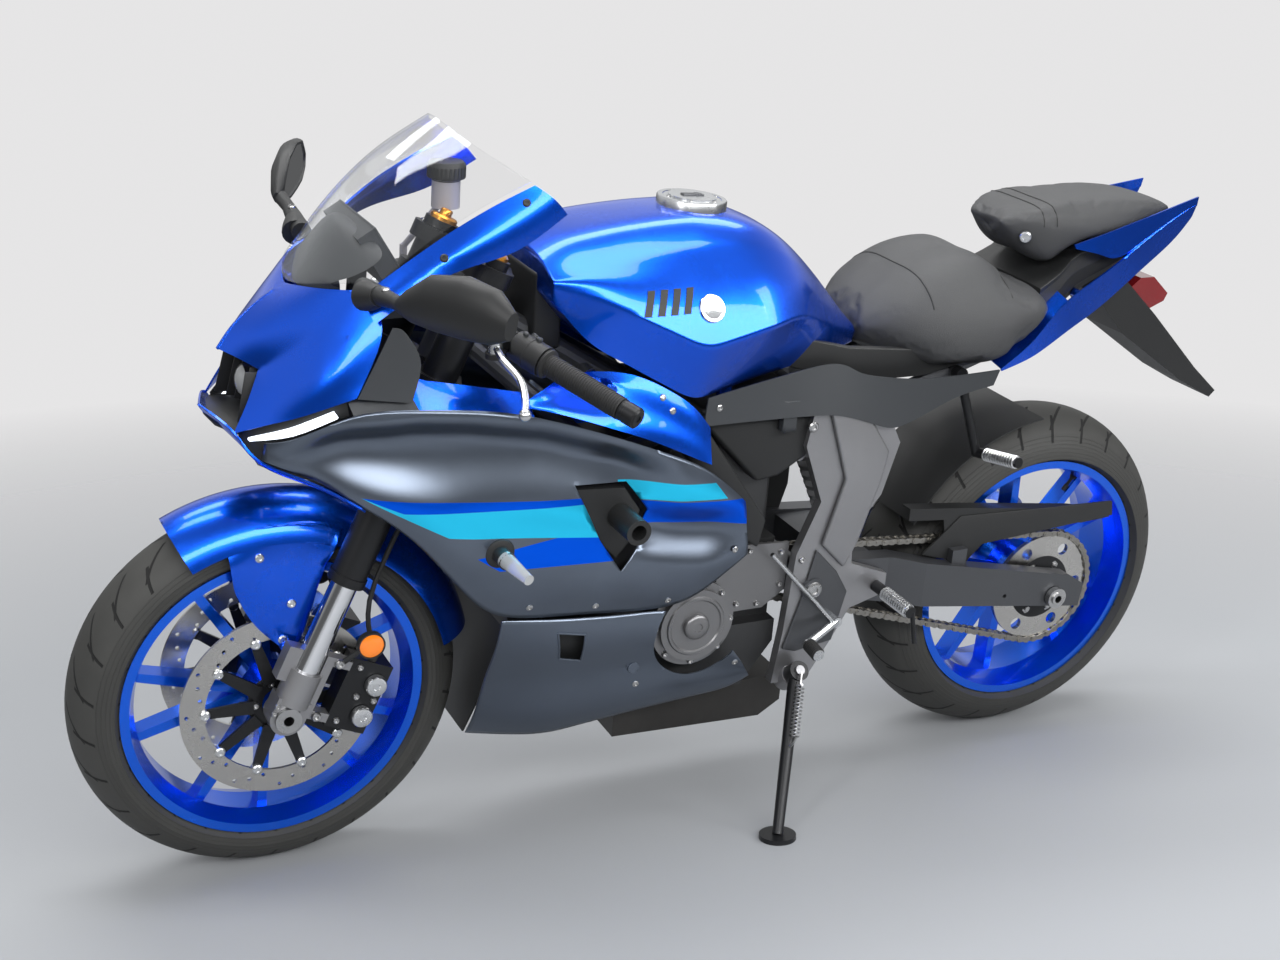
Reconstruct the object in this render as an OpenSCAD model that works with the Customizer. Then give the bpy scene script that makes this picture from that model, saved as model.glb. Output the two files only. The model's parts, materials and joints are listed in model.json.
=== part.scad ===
// Fully faired sport motorcycle parked on its side stand. Millimetres, +X forward, +Y left, +Z up.

/* [Stance] */
// Lean onto the side stand, degrees
lean = 9.42; // [8:0.01:11]
// How far the rear axle sits back in its slots
axle_back = 0; // [-6:1:10]

/* [Wheels] */
// Front tyre radius
front_r = 300; // [297:1:302]
// Rear tyre radius
rear_r = 315; // [312:1:317]
// Front tyre width
front_w = 120; // [112:2:122]
// Rear tyre width
rear_w = 180; // [170:2:182]
// Spoke pairs in each wheel
spoke_pairs = 5; // [4:1:6]
// Front brake disc radius
front_disc_r = 149; // [145:1:152]
// Rear brake disc radius
rear_disc_r = 122; // [112:1:124]

/* [Controls] */
// Grip radius
grip_r = 16.5; // [15:0.5:18]
// Mirror head half height
mirror_h = 44; // [38:1:50]

/* [Body] */
// Moulded panel thickness
skin = 3; // [2.5:0.5:3.5]
// Windscreen thickness
screen_t = 3; // [2.5:0.5:3.5]

/* [Hidden] */
$fn = 64;
// Fork frame: the steering line meets the ground ahead of the front axle
rake = 23.7;
steer_foot = 1485;
fork_offset = 38.2;
fork_y = 104;
front_x = steer_foot - front_r * tan(rake) + fork_offset / cos(rake);
rear_x = -axle_back;
tube_r = 27;
stanchion_r = 20.5;
seal_s = 226;
tube_top = 752;
low_clamp = 529;
top_clamp = 715;
clip_s = 660;
stem_r = 15;
// Seat gap between two fixed pieces, and running clearance of a pin
seat = 0.2;
run = 0.05;
// Axles, hubs, rims
axle_f = 11;
axle_r = 12;
// Tyre section height over the bead seat, and the rim's lip over that seat
wall_f = 74;
wall_r = 89;
rim_lip = 6;
rim_wf = 53.5;
rim_wr = 78.5;
hub_wf = 58;
hub_wr = 70;
crown_f = front_w / 2 + 2;
crown_r = rear_w / 2 + 2;
// Chain line
chain_y = 106;
pitch_rear = 106;
pitch_front = 41;
gear_x = 600;
gear_z = 430;
pivot_x = 520;
pivot_z = 405;
case_y = 118;
plate_y = 132;
plate_t = 18;
// Lie of the whole bike on the floor
lift_f = crown_f * (1 - cos(lean));
lift_r = crown_r * (1 - cos(lean));
dip = atan((lift_r - lift_f) / (front_x - rear_x));
origin_x = 651.64;
origin_y = 165.63;
// Side stand pivot and folded axis in the upright frame
stand_p = [545, 172, 262];
stand_foot = [643, 327];
stand_axis = unit([0, 0.75, 0.66]);
stand_end = [stand_foot[0], stand_foot[1] * cos(lean) - 5 * sin(lean), stand_foot[1] * sin(lean) + 5 * cos(lean)];

// Placing helpers
module parked() translate([-origin_x, -origin_y, lift_r]) rotate([0, dip, 0]) rotate([-lean, 0, 0]) children();
module on_floor() translate([-origin_x, -origin_y, 0]) children();
module at_front() translate([front_x, 0, front_r]) children();
module at_rear() translate([rear_x, 0, rear_r]) children();
module at_fork() at_front() rotate([0, -rake, 0]) children();
function fork_pt(x, y, s) = [front_x - sin(rake) * s + cos(rake) * x, y, front_r + cos(rake) * s + sin(rake) * x];
module both() { children(); mirror([0, 1, 0]) children(); }
module along_y() rotate([-90, 0, 0]) children();
// Plate in the side plane from y0 to y1, outline given as x, z
module slab(outline, y0, y1) translate([0, y1, 0]) rotate([90, 0, 0]) linear_extrude(y1 - y0) polygon(outline);
// Disc or tube round an axis along y, from y0 to y1
module ring_y(r, y0, y1, bore = 0) along_y() translate([0, 0, y0]) difference() {
  cylinder(r = r, h = y1 - y0);
  if (bore > 0) translate([0, 0, -1]) cylinder(r = bore, h = y1 - y0 + 2);
}
module rod(a, b, r, r2 = 0) let (d = b - a) translate(a)
  rotate([0, acos(d[2] / norm(d)), atan2(d[1], d[0])]) cylinder(r1 = r, r2 = r2 > 0 ? r2 : r, h = norm(d));
module block(x0, x1, y0, y1, z0, z1) translate([x0, y0, z0]) cube([x1 - x0, y1 - y0, z1 - z0]);

// Curve helpers: rows of numbers or of points are eased through their neighbours
function ease(a, b, c, d, t) =
  0.5 * (2 * b + (c - a) * t + (2 * a - 5 * b + 4 * c - d) * t * t + (3 * b - a - 3 * c + d) * t * t * t);
function held(v, i) = v[max(0, min(len(v) - 1, i))];
function eased(v, n) = concat([for (i = [0 : len(v) - 2]) for (k = [0 : n - 1])
  ease(held(v, i - 1), v[i], v[i + 1], held(v, i + 2), k / n)], [v[len(v) - 1]]);
function net(rows, nu, nv) = eased([for (r = rows) eased(r, nv)], nu);
function unit(v) = v / max(norm(v), 0.001);
function normal(n, i, j) = unit(cross(
  held(n[i], j + 1) - held(n[i], j - 1), held(n, i + 1)[j] - held(n, i - 1)[j]));
// Skin of even thickness under a net of points, rows front to rear and columns top to bottom on the left
module skin_of(n, t) {
  r = len(n);
  c = len(n[0]);
  k = r * c;
  out = [for (i = [0 : r - 1]) for (j = [0 : c - 1]) n[i][j]];
  in = [for (i = [0 : r - 1]) for (j = [0 : c - 1]) n[i][j] - t * normal(n, i, j)];
  edge = concat([for (j = [0 : c - 2]) j], [for (i = [0 : r - 2]) i * c + c - 1],
    [for (j = [c - 1 : -1 : 1]) (r - 1) * c + j], [for (i = [r - 1 : -1 : 1]) i * c]);
  polyhedron(points = concat(out, in), faces = concat(
    [for (i = [0 : r - 2]) for (j = [0 : c - 2]) let (a = i * c + j) each [[a, a + c, a + c + 1], [a, a + c + 1, a + 1]]],
    [for (i = [0 : r - 2]) for (j = [0 : c - 2]) let (a = k + i * c + j) each [[a, a + c + 1, a + c], [a, a + 1, a + c + 1]]],
    [for (q = [0 : len(edge) - 1]) let (a = edge[q], b = edge[(q + 1) % len(edge)]) each [[a, k + b, k + a], [a, b, k + b]]]));
}
// Solid through closed rings with equal counts of points
module loft(rings) {
  r = len(rings);
  c = len(rings[0]);
  mid = function (g) [for (a = [0 : 2]) (max([for (p = g) p[a]]) + min([for (p = g) p[a]])) / 2];
  polyhedron(points = concat([for (g = rings) each g], [mid(rings[0]), mid(rings[r - 1])]), faces = concat(
    [for (i = [0 : r - 2]) for (j = [0 : c - 1]) let (a = i * c + j, b = i * c + (j + 1) % c)
      each [[a, b + c, b], [a, a + c, b + c]]],
    [for (j = [0 : c - 1]) [r * c, j, (j + 1) % c]],
    [for (j = [0 : c - 1]) let (b = (r - 1) * c) [r * c + 1, b + (j + 1) % c, b + j]]));
}
// Closed ring at station x from a half outline of y, z points, top centre first
function ring_at(x, half) = let (m = len(half))
  concat([for (p = half) [x, p[0], p[1]]], [for (i = [m - 2 : -1 : 1]) [x, -half[i][0], half[i][1]]]);
// Runs eased one by one, so that a crease stays where two of them meet
function creased(runs, n) = concat([for (r = runs) let (e = eased(r, n)) each [for (i = [0 : len(e) - 2]) e[i]]],
  [let (r = runs[len(runs) - 1]) r[len(r) - 1]]);
// Round cord along a path
module cord(path, r, sides = 8) {
  n = len(path);
  rings = [for (i = [0 : n - 1]) let (d = unit(held(path, i + 1) - held(path, i - 1)),
    s = unit(cross(d, abs(d[2]) > 0.9 ? [1, 0, 0] : [0, 0, 1])), u = cross(d, s))
    [for (k = [0 : sides - 1]) path[i] + r * (cos(k * 360 / sides) * s + sin(k * 360 / sides) * u)]];
  loft(rings);
}

// Wheels
module tyre(r, w, crown, rim_w, bead) rotate([90, 0, 0]) rotate_extrude($fn = 96) let (lip = bead + rim_lip) difference() {
  union() {
    intersection() {
      translate([r - crown, 0]) circle(crown, $fn = 96);
      translate([lip + 7.5, -w / 2]) square([crown + 4, w]);
    }
    polygon([[lip + 8, w / 2], [lip + 1, rim_w - 3.7], [bead + seat, rim_w - 3.7],
      [bead + seat, 3.7 - rim_w], [lip + 1, 3.7 - rim_w], [lip + 8, -w / 2]]);
  }
  translate([bead - 1, -rim_w + 14]) square([18, 2 * rim_w - 28]);
  intersection() {
    translate([r - crown - 2, 0]) circle(crown - 8, $fn = 96);
    translate([lip + 9, 9 - w / 2]) square([crown + 4, w - 18]);
  }
}
module rim(rim_w, hub_w, hub_r, bore, spoke_y, bead) difference() {
  union() {
    rotate([90, 0, 0]) rotate_extrude($fn = 96) let (lip = bead + rim_lip) polygon([[bead, 3.7 - rim_w],
      [lip, 3.5 - rim_w], [lip, -rim_w], [bead - 8, -rim_w], [bead - 20, -rim_w * 0.45],
      [bead - 20, rim_w * 0.45], [bead - 8, rim_w], [lip, rim_w], [lip, rim_w - 3.5], [bead, rim_w - 3.7]]);
    ring_y(hub_r, -hub_w, hub_w);
    ring_y(hub_r + 14, -spoke_y * 0.8, spoke_y * 0.8);
    translate([0, spoke_y, 0]) rotate([90, 0, 0]) linear_extrude(2 * spoke_y)
      for (i = [0 : spoke_pairs - 1], s = [-1, 1]) rotate(i * 360 / spoke_pairs + s * 5)
        polygon([[hub_r - 4, -10], [bead - 16, s * 34 - 7], [bead - 16, s * 34 + 7], [hub_r - 4, 10]]);
  }
  ring_y(bore, -hub_w - 1, hub_w + 1);
}
module front_tyre() color("#1b1b1c") parked() at_front() tyre(front_r, front_w, crown_f, rim_wf, front_r - wall_f);
module front_rim() color("#1a3fb0") parked() at_front() rim(rim_wf, hub_wf, 33, axle_f + run, 16, front_r - wall_f);
module front_rotors() color("#b9bbbd") parked() at_front() both() difference() {
  ring_y(front_disc_r, 66, 70.5, front_disc_r - 37);
  for (i = [0 : 11], k = [0 : 2]) rotate([0, i * 30 + k * 9, 0]) translate([front_disc_r - 10 - k * 9, 0, 0]) ring_y(3.2, 60, 75);
}
module front_carriers() color("#202124") parked() at_front() both() difference() {
  union() {
    ring_y(46, hub_wf + seat, 64);
    translate([0, 69.5, 0]) rotate([90, 0, 0]) linear_extrude(5.5) for (i = [0 : 9]) rotate(i * 36)
      polygon([[38, -11], [front_disc_r - 37.6, -7], [front_disc_r - 37.6, 7], [38, 11]]);
  }
  ring_y(24, 50, 80);
}
module rear_tyre() color("#1b1b1c") parked() at_rear() tyre(rear_r, rear_w, crown_r, rim_wr, rear_r - wall_r);
module rear_rim() color("#1a3fb0") parked() at_rear() rim(rim_wr, hub_wr, 40, axle_r + run, 18, rear_r - wall_r);
// Teeth stand just inside the chain's rollers
module rear_sprocket() color("#a9abae") parked() at_rear() difference() {
  union() {
    ring_y(pitch_rear - 5.4, chain_y - 4, chain_y + 4);
    ring_y(62, hub_wr + seat, chain_y);
  }
  ring_y(axle_r + 6, 60, 120);
  for (i = [0 : 5]) rotate([0, i * 60, 0]) translate([80, 0, 0]) ring_y(11, 90, 120);
}
module rear_rotor() color("#b9bbbd") parked() at_rear() difference() {
  union() {
    ring_y(rear_disc_r, -hub_wr - 22, -hub_wr - 17, rear_disc_r - 30);
    ring_y(50, -hub_wr - 22, -hub_wr - seat);
    translate([0, -hub_wr - 17, 0]) rotate([90, 0, 0]) linear_extrude(5) for (i = [0 : 4]) rotate(i * 72)
      translate([40, -9]) square([rear_disc_r - 65, 18]);
  }
  ring_y(axle_r + 6, -120, -60);
  for (i = [0 : 19]) rotate([0, i * 18, 0]) translate([rear_disc_r - 10 - 10 * (i % 2), 0, 0]) ring_y(3.2, -100, -80);
}

// Steered front end
module front_axle() color("#8d9094") parked() at_front() difference() {
  union() {
    ring_y(axle_f, -122, 122);
    both() ring_y(17, 66.5, 80);
    both() ring_y(20, 120.5, 126);
  }
  ring_y(8, -130, 130);
}
module fork_bottoms() color("#3a3d42") parked() at_fork() both() difference() {
  union() {
    translate([0, fork_y, 22]) cylinder(r = 27, h = 56);
    ring_y(27, 80 + seat, 120);
    translate([-27, 84, 0]) cube([54, 36, 30]);
    translate([-62, 92, 6]) cube([40, 22, 14]);
    translate([-62, 92, 96]) cube([40, 22, 14]);
    translate([-34, 92, 6]) cube([14, 22, 104]);
    translate([15, 88, 55]) cube([26, 24, 55]);
  }
  ring_y(axle_f + seat, 70, 130);
  translate([0, fork_y, 40]) cylinder(r = stanchion_r + seat, h = 90);
}
module fork_stanchions() color("#d5d8da") parked() at_fork() both() translate([0, fork_y, 40 + seat]) cylinder(r = stanchion_r, h = 460);
module fork_tubes() color("#17181a") parked() at_fork() both() translate([0, fork_y, 0]) difference() {
  union() {
    translate([0, 0, seal_s]) cylinder(r = tube_r, h = tube_top - seal_s);
    translate([0, 0, seal_s]) cylinder(r = tube_r + 2, h = 14);
    translate([0, 0, tube_top]) cylinder(r = 21, h = 6);
    translate([0, 0, tube_top]) cylinder(r = 9, h = 14);
  }
  translate([0, 0, seal_s - 1]) cylinder(r = stanchion_r + seat, h = 40 + seat + 461 - seal_s);
}
module clamp_plate() difference() {
  union() {
    polygon([[-66, -40], [-66, 40], [-34, 118], [20, 138], [34, 84], [-6, 36], [-6, -36], [34, -84], [20, -138], [-34, -118]]);
    for (s = [-1, 1]) translate([0, s * fork_y]) circle(39);
  }
  for (s = [-1, 1]) translate([0, s * fork_y]) circle(tube_r + seat);
}
module triple_clamps() color("#1d1e21") parked() at_fork() {
  translate([0, 0, low_clamp]) linear_extrude(32) clamp_plate();
  translate([0, 0, top_clamp]) linear_extrude(24) clamp_plate();
  translate([-fork_offset, 0, low_clamp]) cylinder(r = stem_r, h = top_clamp - low_clamp + 26);
  translate([-fork_offset, 0, top_clamp + 20]) cylinder(r = 22, h = 14);
}
// Bar frame: z runs out along the left bar from the fork tube
bar_from = [front_x - sin(rake) * clip_s, fork_y, front_r + cos(rake) * clip_s];
bar_to = [995, 350, 836];
bar_d = unit(bar_to - bar_from);
bar_len = norm(bar_to - bar_from);
function on_bar(s) = bar_from + s * bar_d;
module at_bar() translate(bar_from) rotate([0, acos(bar_d[2]), atan2(bar_d[1], bar_d[0])]) children();
module clip_ons() color("#1d1e21") parked() both() {
  at_fork() translate([0, fork_y, clip_s - 18]) difference() {
    cylinder(r = 37, h = 36);
    translate([0, 0, -1]) cylinder(r = tube_r + seat, h = 38);
  }
  at_bar() translate([0, 0, 32]) cylinder(r = 11, h = bar_len - 20);
  at_bar() translate([0, 0, bar_len + 2]) cylinder(r = 15, h = 26);
}
module grips() color("#242527") parked() both() at_bar() difference() {
  union() {
    translate([0, 0, 152]) cylinder(r = grip_r, h = bar_len - 152);
    translate([0, 0, 152]) cylinder(r = grip_r + 5, h = 5);
  }
  translate([0, 0, 100]) cylinder(r = 11 + seat, h = bar_len);
}
module switchgear() color("#202124") parked() both() difference() {
  union() {
    at_bar() translate([0, 0, 98]) cylinder(r = 23, h = 52);
    at_bar() translate([0, 0, 72]) cylinder(r = 18, h = 20);
    rod(on_bar(82), [1120, 196, 889], 13);
    translate([1122, 198, 870]) cylinder(r = 14, h = 32);
  }
  at_bar() translate([0, 0, 20]) cylinder(r = 11 + seat, h = 150);
  translate([1122, 198, 877]) cylinder(r = 22, h = 18);
}
module levers() color("#c9cbcd") parked() both() {
  translate([1122, 198, 877 + seat]) cylinder(r = 11, h = 18 - 2 * seat);
  cord(eased([[1122, 198, 888], [1124, 232, 878], [1112, 268, 860], [1116, 300, 842], [1126, 324, 830]], 3), 5.5);
  translate([1126, 324, 830]) sphere(r = 9, $fn = 32);
}
module brake_reservoir() color("#d7d2bd") parked() {
  translate([1076, -140, 1000]) cylinder(r = 22, h = 44);
  translate([1076, -140, 1044]) cylinder(r = 24, h = 14);
  rod([1082, -148, 1003], [1122, -198, 925], 5);
  translate([1122, -198, 902 + seat]) cylinder(r = 6, h = 26);
}
module front_calipers() color("#1c1d20") parked() at_fork() both() difference() {
  union() {
    translate([-130, 52, 0]) cube([68 - seat, 58, 116]);
    translate([-112, 110, 30]) rotate([-90, 0, 0]) cylinder(r = 16, h = 10);
    translate([-112, 110, 84]) rotate([-90, 0, 0]) cylinder(r = 16, h = 10);
  }
  rotate([0, rake, 0]) ring_y(front_disc_r + 6, 61, 75.5);
  rotate([0, rake, 0]) ring_y(front_disc_r - 44, 20, 75.5);
}
// Fender arch: a turned shell about the front axle, with a side lobe down to each fork bottom
fender_c = front_r + 22 - (front_w / 2 + 14);
module fender_section() difference() {
  translate([fender_c, 0]) circle(front_w / 2 + 14 + skin);
  translate([fender_c, 0]) circle(front_w / 2 + 14);
  translate([0, -200]) square([fender_c + 18, 400]);
}
lobe = [for (r = [[75, 266, 67, 200], [30, 290, 37, 140], [-23, 292, -17, 92], [-65, 288, -43, 140], [-99, 274, -65, 220]])
  [[r[0], 64, r[1]], [r[0] * 0.6 + r[2] * 0.4, 78, r[1] * 0.6 + r[3] * 0.4], [r[2], 76, r[3]]]];
module front_fender() color("#1746c8") parked() {
  at_front() rotate([90, 0, 0]) rotate([0, 0, 62]) rotate_extrude(angle = 105, $fn = 128) fender_section();
  at_front() both() {
    skin_of(net(lobe, 3, 3), skin);
    translate([-7, 0, 102]) ring_y(8, 74, 88 - seat);
  }
}
// Hoses: each front caliper to the joint under the lower clamp, then on to the reservoir
module brake_hoses() color("#141416") parked() {
  both() cord(eased([for (q = [[-96, 100, 118], [-96, 100, 132], [-64, 104, 170], [-44, 104, 240], [-44, 104, 420], [-50, 80, 490],
    [-52, 30, 512], [-46, 6, 514]]) fork_pt(q[0], q[1], q[2])], 3), 4);
  both() at_fork() translate([-96, 100, 116 + seat]) cylinder(r = 7, h = 8);
  cord(eased([for (q = [[-22, -198, 626], [-12, -186, 602], [-30, -152, 562], [-76, -106, 520], [-72, -50, 500], [-46, -6, 512]])
    fork_pt(q[0], q[1], q[2])], 3), 4);
  translate([1122, -198, 858]) cylinder(r = 7, h = 12 - seat);
  at_fork() translate([-46, 0, 506]) cylinder(r = 12, h = low_clamp - 506 - seat);
}

// Rear end
function tangent_run(sgn) = let (dx = gear_x - rear_x, dz = gear_z - rear_r, l = sqrt(dx * dx + dz * dz))
  atan2(dz, dx) + sgn * acos((pitch_rear - pitch_front) / l);
function around(c, r, a0, a1, n) = [for (i = [0 : n]) let (a = a0 + (a1 - a0) * i / n) [c[0] + r * cos(a), c[1] + r * sin(a)]];
function chain_loop(off) = concat(
  around([gear_x, gear_z], pitch_front + off, tangent_run(-1), tangent_run(1), 12),
  around([rear_x, rear_r], pitch_rear + off, tangent_run(1), 360 + tangent_run(-1), 36));
module chain() color("#8f8d88") parked() {
  difference() {
    slab(chain_loop(7), chain_y - 9, chain_y + 9);
    slab(chain_loop(-5), chain_y - 10, chain_y + 10);
  }
}
module rear_axle() color("#8d9094") parked() at_rear() difference() {
  union() {
    ring_y(axle_r, -166, 166);
    ring_y(20, 111, 119.5);
    ring_y(20, -119.5, -93);
    both() ring_y(19, 152, 163);
  }
  ring_y(7, -170, 170);
}
// Swingarm side: from the pivot to the axle slot, stepping outward round the chain
arm_side = [[545, 432], [545, 386], [350, 345], [rear_x - 62, rear_r - 29], [rear_x - 66, rear_r + 15],
  [rear_x - 30, rear_r + 37], [340, 428], [520, 442]];
module swingarm() color("#34373c") parked() difference() {
  union() {
    intersection() {
      both() slab([for (p = arm_side) [p[0], p[1]]], 80, 160);
      both() linear_extrude(900) polygon([[560, 96], [340, 96], [250, 121], [-80, 121], [-80, 150], [290, 150], [355, 129], [560, 129]]);
    }
    block(372, 450, -100, 100, 372, 428);
    translate([pivot_x, 0, pivot_z]) ring_y(26, -129, 129);
    translate([pivot_x, 0, pivot_z]) ring_y(11, -158, 158);
    both() translate([pivot_x, 0, pivot_z]) ring_y(20, 150 + seat, 158);
    block(200, 230, 123 + seat, 140, 380, 430);
  }
  at_rear() ring_y(axle_r + seat, -170, 170);
  both() translate([rear_x + 110, 0, rear_r + 15]) ring_y(4, 140, 170);
}
module rear_caliper() color("#1c1d20") parked() difference() {
  union() {
    translate([rear_x + 44, -121 + seat, rear_r + 56]) cube([72, 46, 46]);
    translate([rear_x + 60, -121 + seat, rear_r + 20]) cube([30, 14, 60]);
  }
  at_rear() ring_y(rear_disc_r + 5, -98, -82);
}
module chain_guard() color("#18191b") parked() {
  at_rear() rotate([90, 0, 0]) rotate([0, 0, 28]) rotate_extrude(angle = 54, $fn = 96)
    translate([rear_r + 13, -100]) square([skin, 194]);
  at_rear() {
    slab([[320, 197], [200, 185], [-40, 155], [-118, 137], [-124, 129], [-60, 125], [210, 165], [320, 175]], 120, 123);
    slab([[320, 197], [200, 185], [-40, 155], [-118, 137], [-118, 134], [-40, 152], [200, 182], [320, 194]], 98, 123);
  }
  slab([[250, rear_r + 185], [170, rear_r + 175], [198, 410], [232, 412]], 120, 123);
}
module rear_shock() color("#c8a531") parked() {
  translate([385, 0, 442 + seat]) ring_y(14, -20, 20);
  translate([470, 0, 626 - seat]) ring_y(14, -20, 20);
  rod([385, 0, 442], [470, 0, 626], 11);
  for (i = [0 : 6]) rod([398 + i * 9, 0, 470 + i * 19.5], [402 + i * 9, 0, 478 + i * 19.5], 30);
}

// Frame and engine
module main_frame() color("#22252a") parked() difference() {
  frame_tubes();
  at_fork() translate([-fork_offset, 0, 560]) cylinder(r = stem_r + run, h = 160);
}
// Frame tubes of the left side: one end, other end, radius
beams = [[[1085, 28, 900], [760, 112, 706], 16.4], [[1108, 28, 846], [900, 108, 662], 15],
  [[900, 108, 662], [760, 112, 706], 14.4], [[760, 112, 706], [470, 112, 690], 15.6],
  [[470, 112, 690], [130, 88, 790], 13], [[452, 112, 652], [300, 106, 730], 11]];
// Cast knots where tubes meet: centre, radius, half length
knots = [[[900, 108, 662], 17.5, 12], [[760, 112, 706], 19, 19], [[470, 112, 690], 18, 16], [[452, 112, 652], 13, 13]];
module frame_tubes() {
  at_fork() translate([-fork_offset, 0, 566]) cylinder(r = 34, h = 144);
  both() {
    for (b = beams) rod(b[0], b[1], b[2], $fn = 12);
    for (k = knots) translate([k[0][0], 0, k[0][2]]) ring_y(k[1], k[0][1] - k[2], k[0][1] + k[2]);
    block(102 + seat, 126, 78, 98, 796, 812);
    translate([900, 0, 668]) ring_y(14, 108, 121.6);
    for (p = [[470, 690], [552, 694]]) translate([p[0], 0, p[1]]) ring_y(12, 110, plate_y - seat);
    translate([452, 0, 652]) ring_y(9, 112, plate_y - seat);
    translate([600, 0, 700]) ring_y(8, 110, 140 - seat);
    translate([930, 0, 800]) ring_y(10, 60, 110);
    translate([262, 0, 751]) ring_y(11, 94, 118);
  }
  rod([760, -112, 706], [760, 112, 706], 13);
  rod([470, -112, 690], [470, 112, 690], 11);
  block(440, 500, -30, 30, 640, 690);
}
plate_side = [[548, 742], [430, 742], [380, 650], [404, 560], [450, 500], [446, 440], [372, 412], [372, 376], [440, 356], [470, 300], [512, 232], [578, 236],
  [566, 330], [556, 470], [520, 560], [560, 660]];
module pivot_plates() color("#55595f") parked() difference() {
  union() {
    both() slab(plate_side, plate_y, plate_y + plate_t);
    both() rod([560, plate_y + 1, 640], [560, case_y, 640], 10);
    rod(stand_p - 48 * stand_axis, stand_p - 14.4 * stand_axis, 19);
    rod(stand_p - 16 * stand_axis, stand_p + 18 * stand_axis, 8);
  }
  translate([pivot_x, 0, pivot_z]) ring_y(11 + seat, -170, 170);
}
module engine_block() color("#2c2e31") parked() {
  difference() {
    slab([[565, 480], [565, 300], [620, 225], [880, 225], [930, 300], [930, 420], [820, 480]], -case_y, case_y);
    slab([[500, 520], [690, 520], [690, 340], [500, 340]], 92, 130);
  }
  slab([[740, 470], [920, 400], [950, 440], [950, 600], [930, 636], [800, 636], [760, 560]], -104, 104);
  translate([gear_x, 0, gear_z]) ring_y(pitch_front - 5.6, 91, 112);
}
module engine_covers() color("#3b3d41") parked() {
  both() difference() {
    union() {
      translate([740, 0, 375]) ring_y(74, case_y + seat, case_y + 34);
      translate([740, 0, 375]) ring_y(62, case_y + seat, case_y + 44);
      translate([740, 0, 375]) ring_y(22, case_y + seat, case_y + 50);
    }
  }
  slab([[560, 485], [560, 400], [600, 372], [662, 372], [662, 470], [640, 490]], 124, 130);
  slab([[690, 500], [662, 470], [662, 372], [672, 330], [692, 330]], case_y + seat, 130);
}
module radiator() color("#1e1f22") parked() {
  translate([1060, 0, 520]) rotate([0, 12, 0]) {
    block(-20, 20, -144, 144, -125, 125);
    block(-24, 24, -158, -144, -128, 128);
    block(-24, 24, 144, 158, -128, 128);
  }
  both() rod([1050, 85, 520], [950 + seat, 85, 520], 9);
  translate([1090, 0, 188]) rotate([0, -10.5, 0]) rotate([90, 0, 90]) linear_extrude(skin)
    polygon([[-142, 222], [142, 222], [56, 0], [-56, 0]]);
}
module exhaust() color("#77706a") parked() {
  both() cord(eased([[973, 45, 498], [979, 45, 474], [981, 45, 420], [975, 45, 320], [950, 44, 240], [900, 42, 198], [820, 40, 184]], 3), 19, 12);
  both() rod([950 + seat, 45, 490], [970, 45, 490], 24);
  slab([[840, 215], [840, 150], [560, 140], [520, 165], [520, 215]], -92, 92);
  rod([530, -60, 182], [492, -112, 200], 32);
}

// Tank: half outlines at stations, columns x, z_top, y_shoulder, z_shoulder, y_wide, z_wide, y_low, z_low
tank = [[1012, 984, 130, 960, 140, 944, 138, 928], [960, 1004, 134, 966, 156, 936, 158, 868],
  [900, 1015, 128, 976, 178, 912, 166, 832], [840, 1022, 122, 985, 192, 884, 170, 798],
  [785, 1026, 117, 990, 199, 860, 168, 770], [735, 1026, 113, 992, 196, 866, 156, 772],
  [660, 1016, 108, 984, 184, 880, 136, 782], [590, 984, 98, 956, 152, 882, 122, 790],
  [510, 914, 74, 892, 108, 846, 100, 799], [436, 836, 40, 830, 62, 818, 56, 798]];
cap_at = [725, 0, 1026];
module at_cap() translate(cap_at) rotate([0, -3, 0]) children();
module fuel_tank() color("#1746c8") parked() {
  loft([for (t = eased(tank, 3)) ring_at(t[0], creased([[[0, t[1]], [t[2] * 0.6, t[1] - 5], [t[2], t[3]]],
    [[t[2], t[3]], [t[2] * 0.45 + t[4] * 0.55 + 3, (t[3] + t[5]) / 2 + 3], [t[4], t[5]]],
    [[t[4], t[5]], [t[6], t[7]]], [[t[6], t[7]], [0, t[7]]]], 3))]);
  at_cap() translate([0, 0, -12]) difference() {
    cylinder(r = 54, h = 22);
    translate([0, 0, 17]) cylinder(r = 46, h = 10);
  }
  both() translate([700, 112, 719]) cylinder(r = 12, h = 66);
}
module fuel_cap() color("#c3c5c8") parked() at_cap() translate([0, 0, 5 + seat]) {
  cylinder(r = 45.5, h = 5);
  cylinder(r = 38, h = 8);
}

// Seats and tail: half outlines at stations, columns x, z_top, y_top, z_side, y_side, z_low, y_low
rider = [[436 - seat, 844, 40, 832, 66, 794, 54], [380, 884, 72, 852, 122, 780, 108], [320, 920, 86, 864, 150, 771, 148],
  [260, 935, 90, 872, 159, 770, 157], [206, 932, 86, 878, 160, 773, 157], [164, 898, 100, 882, 156, 794, 150],
  [124, 890, 104, 876, 150, 824, 146], [102 + seat, 882, 96, 868, 138, 850, 134]];
pillion = [[165, 988, 34, 984, 48, 974, 44], [120, 1006, 60, 992, 82, 936, 68], [70, 1014, 74, 982, 98, 916, 82],
  [20, 1016, 78, 976, 100, 950, 88], [-80, 1019, 74, 988, 92, 964, 84], [-160, 1013, 58, 998, 74, 980, 68],
  [-204, 1000, 44, 994, 56, 986, 52]];
tray = [[102, 884, 92, 872, 104, 800, 100], [60, 906, 86, 896, 98, 832, 94], [20, 936, 80, 926, 92, 862, 86],
  [-80, 954, 68, 945, 80, 902, 70], [-160, 970, 52, 962, 64, 938, 54], [-236, 982, 38, 978, 48, 966, 42]];
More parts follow.
